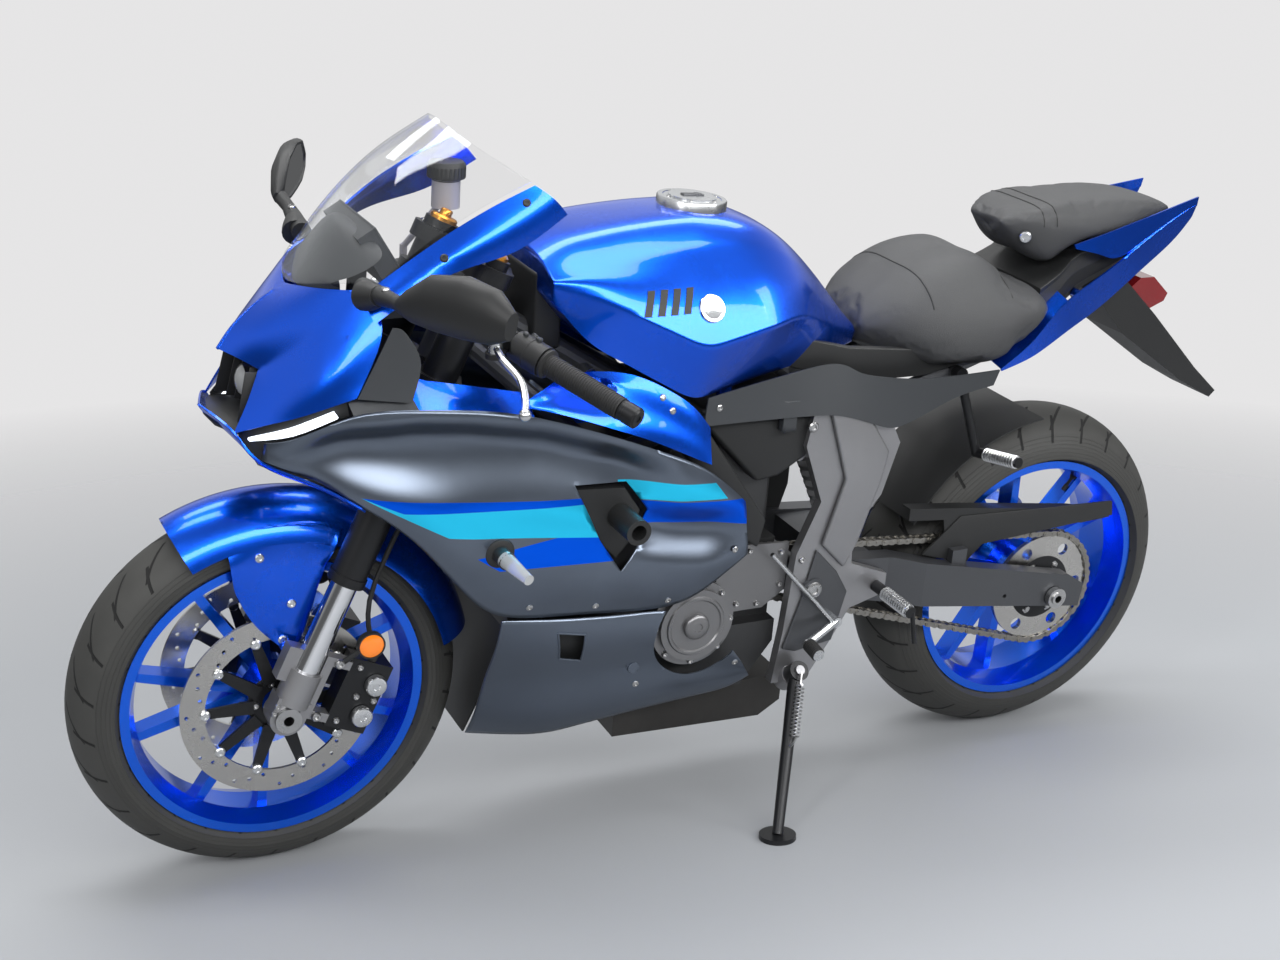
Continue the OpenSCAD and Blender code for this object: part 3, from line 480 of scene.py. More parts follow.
    def tread(self, name: str, hub: Matrix, radius: float, width: float, count: int) -> bpy.types.Material:
        """Tyre rubber with slanted road slits, painted near black as painted shade in the grooves, and
        sidewall ribs.

        Args:
            name: the material's name.
            hub: takes millimetres round the axle to the row.
            radius: outer radius.
            width: tyre width.
            count: slits round the tyre.

        Returns:
            The material.
        """
        finish = self.plain["tyre"]
        graph = finish.start(name)
        x, y, z = graph.place(hub)
        side = abs(y)
        turn = z.math("ARCTAN2", x) * (count / math.tau)
        slit = (abs((turn + side * (2.6 / width)).fract() - 0.5).below(0.035, 0.012)
                * side.above(width * 0.06, 0.5) * side.below(width * 0.36, 0.5))
        short = (abs((turn + side * (1.2 / width) + 0.45).fract() - 0.5).below(0.030, 0.012)
                 * side.above(width * 0.22, 0.5) * side.below(width * 0.44, 0.5))
        cut = slit.math("MAXIMUM", short)
        reach = (x * x + z * z).math("SQRT")
        wall = reach.below(radius - 34.0, 2.0)
        ring = abs((reach * 0.16).fract() - 0.5).below(0.08, 0.04) * wall
        tone = graph.noise(40.0, 5.0)
        base = graph.blend(tone, finish.shade(0.75), finish.shade(1.35))
        base = graph.blend(wall * 0.5, base, finish.shade(0.8))
        # The slits are painted near black: painted shade in the grooves, not a darker rubber.
        base = graph.blend(cut, base, (0.004, 0.004, 0.004))
        graph.set("Base Color", base)
        graph.set("Roughness", 0.62 + (tone - 0.5) * 0.18 + cut * 0.2)
        grain = graph.noise(0.9, 2.0)
        graph.relief(1.0 - cut + ring * 0.25 + grain * 0.03, 3.0)
        return graph.material


class Form:
    """A mesh in the making, in millimetres of the upright bike."""

    def __init__(self) -> None:
        """Start empty."""
        self.bm = bmesh.new()

    def lathe(self, profile: Sequence[Point], centre: Point = (0, 0, 0), axis: Point = ACROSS,
              steps: int = 48) -> "Form":
        """Turn a profile about an axis.

        Args:
            profile: radius and distance along the axis, point by point.
            centre: the axis' own origin.
            axis: its direction.
            steps: facets round the turn.

        Returns:
            This form.
        """
        along = Vector(axis).normalized()
        out = along.orthogonal().normalized()
        middle = Vector(centre)
        verts = [self.bm.verts.new(middle + out * r + along * a) for r, a in profile]
        edges = [self.bm.edges.new(pair) for pair in zip(verts, verts[1:])]
        bmesh.ops.spin(self.bm, geom=verts + edges, cent=middle, axis=along, angle=math.tau,
                       steps=steps, use_merge=True)
        return self

    def tube(self, path: Sequence[Point], radius: Union[float, Sequence[float]], sides: int = 12) -> "Form":
        """Sweep a circle along a path.

        Args:
            path: the points it goes through.
            radius: one radius, or one for each point.
            sides: facets round the tube.

        Returns:
            This form.
        """
        points = [Vector(p) for p in path]
        radii = [radius] * len(points) if isinstance(radius, (int, float)) else list(radius)
        last = None
        ring: list[bmesh.types.BMEdge] = []
        for i, point in enumerate(points):
            ahead = (points[min(i + 1, len(points) - 1)] - points[max(i - 1, 0)]).normalized()
            spin = ahead.to_track_quat("Z", "Y").to_matrix().to_4x4()
            frame = Matrix.Translation(point) @ spin @ Matrix.Scale(radii[i], 4)
            if last is None:
                made = bmesh.ops.create_circle(self.bm, segments=sides, radius=1.0, matrix=frame,
                                               cap_ends=True)
                ring = list({e for v in made["verts"] for e in v.link_edges})
            else:
                grown = bmesh.ops.extrude_edge_only(self.bm, edges=ring)["geom"]
                ring = [g for g in grown if isinstance(g, bmesh.types.BMEdge)]
                verts = [g for g in grown if isinstance(g, bmesh.types.BMVert)]
                bmesh.ops.transform(self.bm, matrix=frame @ last.inverted(), verts=verts)
                ring = [e for e in ring if all(v in set(verts) for v in e.verts)]
            last = frame
        bmesh.ops.holes_fill(self.bm, edges=ring, sides=0)
        return self

    def plate(self, outline: Sequence[Point], push: Point) -> "Form":
        """Extrude a flat outline.

        Args:
            outline: its corners in space.
            push: the way and depth of the extrusion.

        Returns:
            This form.
        """
        face = self.bm.faces.new([self.bm.verts.new(Vector(p)) for p in outline])
        grown = bmesh.ops.extrude_face_region(self.bm, geom=[face])["geom"]
        bmesh.ops.translate(self.bm, vec=Vector(push),
                            verts=[g for g in grown if isinstance(g, bmesh.types.BMVert)])
        return self

    def block(self, centre: Point, size: Point, turn: Matrix = Matrix.Identity(4)) -> "Form":
        """A box about a centre, turned where it stands."""
        frame = Matrix.Translation(Vector(centre)) @ turn @ Matrix.Diagonal((*size, 1.0))
        bmesh.ops.create_cube(self.bm, size=1.0, matrix=frame)
        return self

    def sheet(self, rows: Sequence[Sequence[Point]], thick: float) -> "Form":
        """A curved sheet through rows of points.

        Args:
            rows: the rows, each with as many points as the others.
            thick: its thickness.

        Returns:
            This form.
        """
        wide = len(rows[0])
        made = bmesh.ops.create_grid(self.bm, x_segments=wide - 1, y_segments=len(rows) - 1,
                                     size=1.0)["verts"]
        made.sort(key=lambda v: (round(v.co.y, 3), round(v.co.x, 3)))
        for vert, point in zip(made, [p for row in rows for p in row]):
            vert.co = Vector(point)
        faces = list({f for v in made for f in v.link_faces})
        bmesh.ops.recalc_face_normals(self.bm, faces=faces)
        bmesh.ops.solidify(self.bm, geom=faces, thickness=thick)
        return self

    def bolt(self, at: Point, way: Point, radius: float, height: float = 3.0) -> "Form":
        """A button-head bolt with its key socket.

        Args:
            at: where the head sits.
            way: the direction it faces.
            radius: radius of the head.
            height: height of the head.

        Returns:
            This form.
        """
        key = 0.45 * radius
        return self.lathe([(TIP, height * 0.45), (key, height * 0.45), (key, height),
                           (radius * 0.75, height), (radius, height * 0.5), (radius, -1.0)], at, way, 12)

    def bevel(self, width: float, segments: int = 2, angle: float = 30.0) -> "Form":
        """Round the sharp edges.

        Args:
            width: width of the rounding.
            segments: its steps.
            angle: edges sharper than this are rounded.

        Returns:
            This form.
        """
        self.clean()
        sharp = [e for e in self.bm.edges
                 if len(e.link_faces) == 2 and e.calc_face_angle(0.0) > math.radians(angle)]
        bmesh.ops.bevel(self.bm, geom=sharp, offset=width, offset_type="OFFSET", affect="EDGES",
                        segments=segments, profile=0.5, material=-1, clamp_overlap=True)
        return self

    def elements(self) -> list:
        """All points, edges and faces."""
        return self.bm.verts[:] + self.bm.edges[:] + self.bm.faces[:]

    def both_sides(self) -> "Form":
        """Add the mirror image across the bike."""
        copy = bmesh.ops.duplicate(self.bm, geom=self.elements())["geom"]
        bmesh.ops.scale(self.bm, vec=(1, -1, 1), verts=[g for g in copy if isinstance(g, bmesh.types.BMVert)])
        bmesh.ops.reverse_faces(self.bm, faces=[g for g in copy if isinstance(g, bmesh.types.BMFace)])
        return self

    def around(self, count: int, centre: Point, axis: Point) -> "Form":
        """Repeat all of it round an axis.

        Args:
            count: how many there are in the end.
            centre: a point of the axis.
            axis: its direction.

        Returns:
            This form.
        """
        geom = self.elements()
        bmesh.ops.spin(self.bm, geom=geom, cent=Vector(centre), axis=Vector(axis),
                       angle=math.tau * (count - 1) / count, steps=count - 1, use_duplicate=True)
        return self

    def move(self, matrix: Matrix) -> "Form":
        """Transform all of it."""
        bmesh.ops.transform(self.bm, matrix=matrix, verts=self.bm.verts[:])
        return self

    def twin(self) -> "Form":
        """Another form of the same shape."""
        other = Form()
        other.bm.free()
        other.bm = self.bm.copy()
        return other

    def clean(self, gap: float = 0.005) -> "Form":
        """Merge doubled points and turn the faces outwards."""
        bmesh.ops.remove_doubles(self.bm, verts=self.bm.verts[:], dist=gap)
        bmesh.ops.recalc_face_normals(self.bm, faces=self.bm.faces[:])
        return self

    def copy_node(self, obj: bpy.types.Object, to_row: Matrix) -> "Form":
        """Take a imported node's shape, merged and in quads where it can be.

        Args:
            obj: the node's object.
            to_row: the stance's matrix.

        Returns:
            This form.
        """
        self.bm.from_mesh(obj.data)
        bmesh.ops.transform(self.bm, matrix=to_row.inverted(), verts=self.bm.verts[:])
        bmesh.ops.remove_doubles(self.bm, verts=self.bm.verts[:], dist=0.02)
        bmesh.ops.join_triangles(self.bm, faces=self.bm.faces[:], angle_face_threshold=math.radians(30),
                                 angle_shape_threshold=math.radians(50), cmp_seam=False, cmp_sharp=False,
                                 cmp_uvs=False, cmp_vcols=False, cmp_materials=False)
        return self

    def crease(self, angle: float = 35.0) -> "Form":
        """Keep edges sharper than the angle under subdivision."""
        layer = self.bm.edges.layers.float.get("crease_edge") or self.bm.edges.layers.float.new("crease_edge")
        for edge in self.bm.edges:
            if len(edge.link_faces) != 2 or edge.calc_face_angle(0.0) > math.radians(angle):
                edge[layer] = 1.0
        return self


class Surface:
    """Finds places on a shape, in millimetres of the upright bike."""

    def __init__(self, form: Form) -> None:
        """Take a form's faces and let the form go.

        Args:
            form: the shape, in millimetres of the upright bike.
        """
        self.tree = BVHTree.FromBMesh(form.bm)
        form.bm.free()

    def cast(self, start: Point, way: Point) -> tuple[Vector, Vector]:
        """Follow a ray.

        Args:
            start: where it starts.
            way: where it goes.

        Returns:
            The first place it meets, and the normal that faces it.
        """
        spot, normal, _, _ = self.tree.ray_cast(Vector(start), Vector(way))
        if spot is None:
            raise ValueError(f"no surface on the ray from {tuple(start)}")
        return spot, normal if normal.dot(Vector(way)) < 0 else -normal

    def side(self, x: float, z: float) -> tuple[Vector, Vector]:
        """Place and normal on the left side."""
        return self.cast((x, 900.0, z), (0, -1, 0))

    def top(self, x: float, y: float) -> tuple[Vector, Vector]:
        """Place and normal seen from above."""
        return self.cast((x, y, 2000.0), (0, 0, -1))


class Workshop:
    """Turns forms into pieces that ride on the frame."""

    def __init__(self, frame: dict, stance: Stance, paint: Paint) -> None:
        """Keep what every piece needs.

        Args:
            stance: where the upright bike lies.
            paint: the finishes.
        """
        self.nodes = frame["nodes"]
        self.stance = stance
        self.paint = paint
        self.surfaces: dict[str, "Surface"] = {}

    def surface(self, node: str) -> "Surface":
        """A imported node's surface, made at first use."""
        if node not in self.surfaces:
            self.surfaces[node] = Surface(self.rounded(node))
        return self.surfaces[node]

    @staticmethod
    def scratch(form: Form) -> bpy.types.Object:
        """A passing object of a form."""
        mesh = bpy.data.meshes.new("scratch")
        form.bm.to_mesh(mesh)
        form.bm.free()
        obj = bpy.data.objects.new("scratch", mesh)
        bpy.context.scene.collection.objects.link(obj)
        return obj

    def baked(self, form: Form, levels: int = 0, minus: Optional[Form] = None) -> Form:
        """Apply subdivision and a cut.

        Args:
            form: the shape to start from.
            levels: levels of subdivision.
            minus: a shape to cut away.

        Returns:
            The resulting form.
        """
        obj = self.scratch(form)
        passing = [obj]
        if levels:
            mod = obj.modifiers.new("rounding", "SUBSURF")
            mod.levels = mod.render_levels = levels
        if minus:
            passing.append(self.scratch(minus))
            mod = obj.modifiers.new("cut", "BOOLEAN")
            mod.operation, mod.solver, mod.object = "DIFFERENCE", "EXACT", passing[1]
        done = self.evaluated(obj)
        self.drop(*passing)
        return done

    @staticmethod
    def evaluated(obj: bpy.types.Object) -> Form:
        """The form that an object's modifiers give it."""
        done = Form()
        done.bm.from_mesh(obj.evaluated_get(bpy.context.evaluated_depsgraph_get()).data)
        return done

    @staticmethod
    def drop(*passing: bpy.types.Object) -> None:
        """Remove passing objects and their meshes."""
        for item in passing:
            mesh = item.data
            bpy.data.objects.remove(item)
            bpy.data.meshes.remove(mesh)

    def rounded(self, node: str, levels: int = 2, angle: float = 35.0) -> Form:
        """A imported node's own shape, rounded by subdivision.

        Args:
            node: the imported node.
            levels: levels of subdivision.
            angle: edges sharper than this stay sharp.

        Returns:
            The form.
        """
        return self.baked(Form().copy_node(self.nodes[node], self.stance.to_row).crease(angle), levels)

    def piece(self, form: Form, name: str, body: Body, finish: str, stands_for: Sequence[str] = (),
              smooth: float = 40.0, levels: int = 0) -> bpy.types.Object:
        """Make an object of a form.

        Args:
            form: the shape, in millimetres of the upright bike.
            name: the piece's name.
            body: the body it rides on.
            finish: name of its finish.
            stands_for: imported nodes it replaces.
            smooth: edges below this angle are shaded smooth.
            levels: levels of subdivision, none by default.

        Returns:
            The object.
        """
        form.move(self.stance.to_row)
        mesh = bpy.data.meshes.new(name)
        form.bm.to_mesh(mesh)
        form.bm.free()
        obj = bpy.data.objects.new(name, mesh)
        bpy.context.scene.collection.objects.link(obj)
        mesh.shade_smooth()
        mesh.set_sharp_from_angle(angle=math.radians(smooth))
        if levels:
            mod = obj.modifiers.new("rounding", "SUBSURF")
            mod.levels = mod.render_levels = levels
        mesh.materials.append(self.paint.get(finish))
        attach(obj, body.value)
        finish in self.paint.plain
        if stands_for:
            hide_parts(*stands_for)
        LOG.info("%s: %d faces on %s", name, len(mesh.polygons), body.value)
        return obj

    def pair(self, form: Form, *rest: Any) -> bpy.types.Object:
        """A piece with its mirror image across the bike."""
        return self.piece(form.both_sides().clean(), *rest)

    def dress(self, node: str, finish: str) -> None:
        """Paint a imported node."""
        obj = self.nodes[node]
        obj.data.materials.clear()
        obj.data.materials.append(self.paint.get(finish))
        LOG.info("%s: %s", node, finish)

    def smooth_copy(self, node: str, finish: str, body: Body, levels: int = 2,
                    angle: float = 35.0) -> bpy.types.Object:
        """Replace a moulded node by its own shape, rounded by subdivision.

        Args:
            node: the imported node.
            finish: name of the finish.
            body: the body it rides on.
            levels: levels of subdivision.
            angle: edges sharper than this stay sharp.

        Returns:
            The object.
        """
        form = Form().copy_node(self.nodes[node], self.stance.to_row).crease(angle)
        return self.piece(form, node + "_skin", body, finish, (node,), 50.0, levels)


@dataclass
class Wheel:
    """One wheel: rim and tyre."""

    name: str
    body: Body
    centre: Point
    radius: float
    width: float
    slits: int

    def hub(self, stance: Stance) -> Matrix:
        """Takes millimetres round the axle to the row."""
        return stance.to_row @ Matrix.Translation(Vector(self.centre))

    def build(self, shop: Workshop) -> None:
        """Dress rim and tyre.

        Args:
            shop: the workshop.
        """
        tread = self.name + "_tread"
        shop.paint.made[tread] = shop.paint.tread(tread, self.hub(shop.stance), self.radius, self.width,
                                                  self.slits)
        shop.dress(self.name + "_tyre", tread)
        shop.dress(self.name + "_rim", "wheel_blue")


def aimed(at: Point, way: Vector) -> Matrix:
    """Where a camera or lamp stands that looks along a way.

    Args:
        at: its place.
        way: the direction.

    Returns:
        Its matrix.
    """
    return Matrix.Translation(Vector(at)) @ way.normalized().to_track_quat("-Z", "Y").to_matrix().to_4x4()


@dataclass
class Studio:
    """Floor, lights and the camera of the photograph's view."""

    eye: Point = (1.3654, 2.4591, 1.2430)
    yaw: float = -116.1
    pitch: float = -13.59
    lens: float = 49.97
    sensor: float = 36.0
    floor_size: float = 60.0
    floor_clear: float = 1500.0
    floor_fade: float = 2600.0
    floor_tone: Colour = (0.29, 0.30, 0.315)
    floor_roughness: float = 0.55
    room: float = 0.85
    room_tones: tuple[Point, ...] = ((0.06, 0.14), (0.30, 1.0), (0.80, 0.42))
    backdrop: Colour = (0.79, 0.785, 0.79)
    aim: Point = (0.0, 0.0, 0.5)
    lamps: tuple[tuple[str, Point, Point, float], ...] = (
        ("key_left", (-0.3, 4.5, 2.75), (8.0, 1.1), 300.0),
        ("ceiling", (0.2, 0.4, 4.2), (5.0, 0.8), 110.0),
        ("ceiling_back", (-0.4, -1.5, 4.0), (5.0, 0.9), 110.0),
        ("front_left", (3.8, 2.4, 2.6), (0.7, 2.2), 55.0),
        ("rear_left", (-3.4, 2.8, 2.4), (0.8, 2.0), 50.0))

    def camera(self) -> None:
        """Place the camera and make it the scene's."""
        data = bpy.data.cameras.new("camera")
        data.lens, data.sensor_width = self.lens, self.sensor
        obj = bpy.data.objects.new("camera", data)
        yaw, pitch = math.radians(self.yaw), math.radians(self.pitch)
        look = Vector((math.cos(pitch) * math.cos(yaw), math.cos(pitch) * math.sin(yaw), math.sin(pitch)))
        obj.matrix_world = aimed(self.eye, look)
        bpy.context.scene.collection.objects.link(obj)
        bpy.context.scene.camera = obj

    def floor(self) -> None:
        """A plain pale floor."""
        bm = bmesh.new()
        bmesh.ops.create_grid(bm, x_segments=1, y_segments=1, size=self.floor_size / 2)
        mesh = bpy.data.meshes.new("floor")
        bm.to_mesh(mesh)
        bm.free()
        obj = bpy.data.objects.new("floor", mesh)
        graph = Graph("floor_pale")
        graph.set("Base Color", (*self.floor_tone, 1.0))
        graph.set("Roughness", self.floor_roughness)
        x, y, _ = graph.place(Matrix.Scale(MM, 4))
        reach = (x * x + y * y).math("SQRT")
        graph.set("Alpha", reach.below(self.floor_clear, self.floor_fade))
        mesh.materials.append(graph.material)
        bpy.context.scene.collection.objects.link(obj)

    def light(self, name: str, at: Point, size: Point, power: float) -> None:
        """One soft area light.

        Args:
            name: its name.
            at: where it hangs.
            size: its width and height.
            power: watts.
        """
        data = bpy.data.lights.new(name, "AREA")
        data.shape = "RECTANGLE"
        data.size, data.size_y = size
        data.energy = power
        obj = bpy.data.objects.new(name, data)
        obj.matrix_world = aimed(at, Vector(self.aim) - Vector(at))
        bpy.context.scene.collection.objects.link(obj)

    def build(self) -> None:
        """Set the whole studio."""
        self.camera()
        self.floor()
        self.sky()
        bpy.context.scene.view_settings.view_transform = "Standard"
        for name, at, size, power in self.lamps:
            self.light(name, at, size, power)

    def sky(self) -> None:
        """Pale backdrop, with a room that is brighter above than round about."""
        graph = Graph("studio", "worlds", "BACKGROUND")
        out = next(n for n in graph.tree.nodes if n.type == "OUTPUT_WORLD")
        way = graph.node("ShaderNodeTexCoord", {}, {}).outputs["Generated"]
        height = graph.node("ShaderNodeSeparateXYZ", {}, {0: way}).outputs[2]
        stops = [(place, (tone * 0.98, tone * 0.99, tone)) for place, tone in self.room_tones]
        ramp = graph.node("ShaderNodeValToRGB", {"stops": stops}, {0: height})
        graph.set("Color", ramp.outputs[0])
        graph.set("Strength", self.room)
        seen = graph.node("ShaderNodeBackground", {}, {"Color": (*self.backdrop, 1.0)})
        ray = graph.node("ShaderNodeLightPath", {}, {}).outputs["Is Camera Ray"]
        mix = graph.node("ShaderNodeMixShader", {}, {0: ray, 1: graph.shader.outputs[0], 2: seen.outputs[0]})
        graph.feed(out.inputs[0], mix.outputs[0])
        bpy.context.scene.world = graph.material


@dataclass(frozen=True)
class Hollow:
    """A soft channel pressed into the side panels along a line.

    Attributes:
        line: x and z of its deepest points, from the front.
        depth: how deep it is.
        up: its width above the line.
        down: its width below the line.
        fade: over what length it starts and ends.
    """

    line: tuple[Point, ...]
    depth: float
    up: float
    down: float
    fade: float

    def at(self, x: float) -> Optional[float]:
        """Height of the line at x, or None outside it."""
        for (x0, z0), (x1, z1) in zip(self.line, self.line[1:]):
            if x1 <= x <= x0:
                return z0 + (z1 - z0) * (x0 - x) / (x0 - x1)
        return None

    def press(self, form: Form) -> None:
        """Push a form's points towards the middle of the bike.

        Args:
            form: the panels.
        """
        for vert in form.bm.verts:
            level = self.at(vert.co.x)
            if level is None:
                continue
            off = vert.co.z - level
            share = 1.0 - abs(off) / (self.up if off > 0 else self.down)
            ends = min(self.line[0][0] - vert.co.x, vert.co.x - self.line[-1][0], self.fade) / self.fade
            if share > 0.0:
                soft = share * share * (3.0 - 2.0 * share) * ends * ends * (3.0 - 2.0 * ends)
                vert.co.y -= math.copysign(self.depth * soft, vert.co.y)


@dataclass
class Panels:
    """Painted and moulded skins."""

    plain: dict[str, str] = field(default_factory=lambda: {
        "seat_tray": "black_plastic", "plate_bracket": "black_plastic", "tail_lamp": "red_lens",
        "headlamps": "black_plastic", "day_lamps": "lamp_white", "cockpit": "grey_plastic",
        "vent_ducts": "black_plastic", "frame_sliders": "black_plastic", "turn_signals": "lens_clear"})
    blue: tuple[str, ...] = ("upper_cowl", "upper_panels", "fuel_tank", "tail_cowls")
    hollows: tuple[Hollow, ...] = (
        Hollow(((1420, 722), (1327, 745), (1229, 752), (1151, 746), (1040, 727), (919, 687), (800, 640)),
               34.0, 42.0, 104.0, 110.0),
        Hollow(((930, 592), (872, 584), (767, 560), (670, 548)), 20.0, 50.0, 62.0, 90.0))
    slot: tuple[Point, ...] = ((994, 414), (948, 405), (946, 352), (984, 362))
    cover_at: Point = (740.0, 375.0)
    cover_gap: float = 84.0

    def build(self, shop: Workshop) -> None:
        """Smooth and paint every panel.

        Args:
            shop: the workshop.
        """
        for node in self.blue:
            shop.smooth_copy(node, "body_blue", Body.FRAME)
        shop.smooth_copy("front_fender", "body_blue", Body.STEERING, 1)
        fairing = shop.rounded("side_fairings")
        for hollow in self.hollows:
            hollow.press(fairing)
        shop.piece(fairing, "side_fairings_skin", Body.FRAME, "fairing", ("side_fairings",), 50.0)
        x, z = self.cover_at
        hole = Form().lathe([(TIP, 120), (self.cover_gap, 120), (self.cover_gap, 280), (TIP, 280)],
                            (x, 0, z), ACROSS, 64)
        hole.plate([(x, 100, z) for x, z in self.slot], (0, 180, 0))
        belly = shop.baked(shop.rounded("belly_pan"), 0, hole.both_sides().clean())
        shop.piece(belly, "belly_pan_skin", Body.FRAME, "graphite", ("belly_pan",), 50.0)
        shop.smooth_copy("cowl_inserts", "grey_plastic", Body.FRAME)
        shop.smooth_copy("windscreen", "screen_clear", Body.FRAME)
        shop.smooth_copy("side_covers", "grey_plastic", Body.FRAME)
        for node, finish in self.plain.items():
            shop.dress(node, finish)


@dataclass
class Seats:
    """Rider and pillion pads, swelled as sewn covers over foam."""

    fill: float = 0.8
    shrink: float = 4.0
    voxel: float = 5.0
    pressure: float = 4.0
    frames: int = 20
    cap: float = 5.0
    seam_r: float = 1.3
    seam_reach: float = 400.0
    seam_step: int = 8
    seams: dict[str, tuple[Point, ...]] = field(default_factory=lambda: {
        "rider_seat": ((336, 850), (190, 862)), "pillion_seat": ((98, 970), (74, 970))})

    def build(self, shop: Workshop) -> None:
        """Swell the pads, cover them in vinyl and lay their seams.

        Args:
            shop: the workshop.
        """
        for node in ("rider_seat", "pillion_seat"):
            form = shop.rounded(node, 1, 60.0)
            form = self.swell(shop, form)
            surface = Surface(form.twin())
            pad = shop.piece(form, node + "_pad", Body.FRAME, "vinyl", (node,), 60.0, 1)
            seam = Form()
            for x, z in self.seams[node]:
                path = []
                for angle in range(self.seam_step, 180 - self.seam_step, self.seam_step):
                    out = Vector((0, math.cos(math.radians(angle)), math.sin(math.radians(angle))))
                    path.append(surface.cast(Vector((x, 0, z)) + out * self.seam_reach, -out)[0])
                seam.tube(path, self.seam_r, 8)
            shop.piece(seam.clean(), node + "_seams", Body.FRAME, "rubber_black")

    def swell(self, shop: Workshop, form: Form) -> Form:
        """Blow a pad up as cloth, no further than the cap.

        Args:
            shop: the workshop.
            form: the pad's plain shape.

        Returns:
            The swelled shape.
        """
        bmesh.ops.recalc_face_normals(form.bm, faces=form.bm.faces[:])
        form.bm.normal_update()
        for vert in form.bm.verts:
            vert.co -= vert.normal * self.shrink
        form.move(Matrix.Scale(MM, 4))
        pad = shop.scratch(form)
        mod = pad.modifiers.new("voxels", "REMESH")
        mod.mode, mod.voxel_size = "VOXEL", self.voxel * MM
        cover = shop.scratch(shop.evaluated(pad))
        rest = [v.co.copy() for v in cover.data.vertices]
        cloth = cover.modifiers.new("cloth", "CLOTH")
        cloth.settings.use_pressure = True
        cloth.settings.uniform_pressure_force = self.pressure
        cloth.settings.effector_weights.gravity = 0.0
        cloth.point_cache.frame_start, cloth.point_cache.frame_end = 1, self.frames
        for frame in range(1, self.frames + 1):
            bpy.context.scene.frame_set(frame)
        done = shop.evaluated(cover)
        done.bm.verts.ensure_lookup_table()
        for vert, start in zip(done.bm.verts, rest):
            step = vert.co - start
            if step.length > self.cap * MM:
                vert.co = start + step.normalized() * self.cap * MM
        bpy.context.scene.frame_set(1)
        shop.drop(pad, cover)
        return done.move(Matrix.Scale(1.0 / MM, 4))


@dataclass
class Machinery:
    """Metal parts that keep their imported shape."""

    finishes: dict[str, str] = field(default_factory=lambda: {
        "front_rotors": "disc_steel", "front_carriers": "black_metal", "front_axle": "axle_steel",
        "fork_bottoms": "cast_grey", "fork_stanchions": "fork_chrome", "fork_tubes": "black_metal",
        "triple_clamps": "black_metal", "clip_ons": "black_metal", "grips": "rubber_black",
        "switchgear": "black_plastic", "levers": "lever_alloy", "brake_reservoir": "milky_plastic",
        "front_calipers": "black_metal", "brake_hoses": "rubber_black", "rear_sprocket": "disc_steel",
        "rear_rotor": "disc_steel", "rear_axle": "axle_steel", "rear_caliper": "black_metal",
        "swingarm": "dark_metal", "chain": "chain_steel", "chain_guard": "black_plastic",
        "rear_shock": "spring_gold", "main_frame": "dark_metal", "pivot_plates": "cast_grey",
        "engine_block": "engine_dark", "engine_covers": "engine_bright", "radiator": "engine_dark",
        "exhaust": "exhaust_steel", "fuel_cap": "lever_alloy", "footrests": "black_metal",
        "foot_controls": "lever_alloy", "side_stand": "black_metal"})

    def build(self, shop: Workshop) -> None:
        """Paint every node of the table.

        Args:
            shop: the workshop.
        """
        for node, finish in self.finishes.items():
            shop.dress(node, finish)


@dataclass(frozen=True)
class ForkFrame:
    """The fork's own axes: z runs up along the legs from the front axle."""

    axle: Point = (WHEELBASE, 0.0, FRONT_R)
    rake: float = 23.7
    leg_y: float = 104.0
    offset: float = 38.2

    def matrix(self) -> Matrix:
        """Takes fork millimetres to the upright bike."""
        return Matrix.Translation(Vector(self.axle)) @ Matrix.Rotation(-math.radians(self.rake), 4, "Y")

    def at(self, x: float, y: float, z: float) -> Vector:
        """A place on the upright bike."""
        return self.matrix() @ Vector((x, y, z))

    def up(self) -> Vector:
        """The legs' direction."""
        return self.matrix().to_3x3() @ Vector(UP)


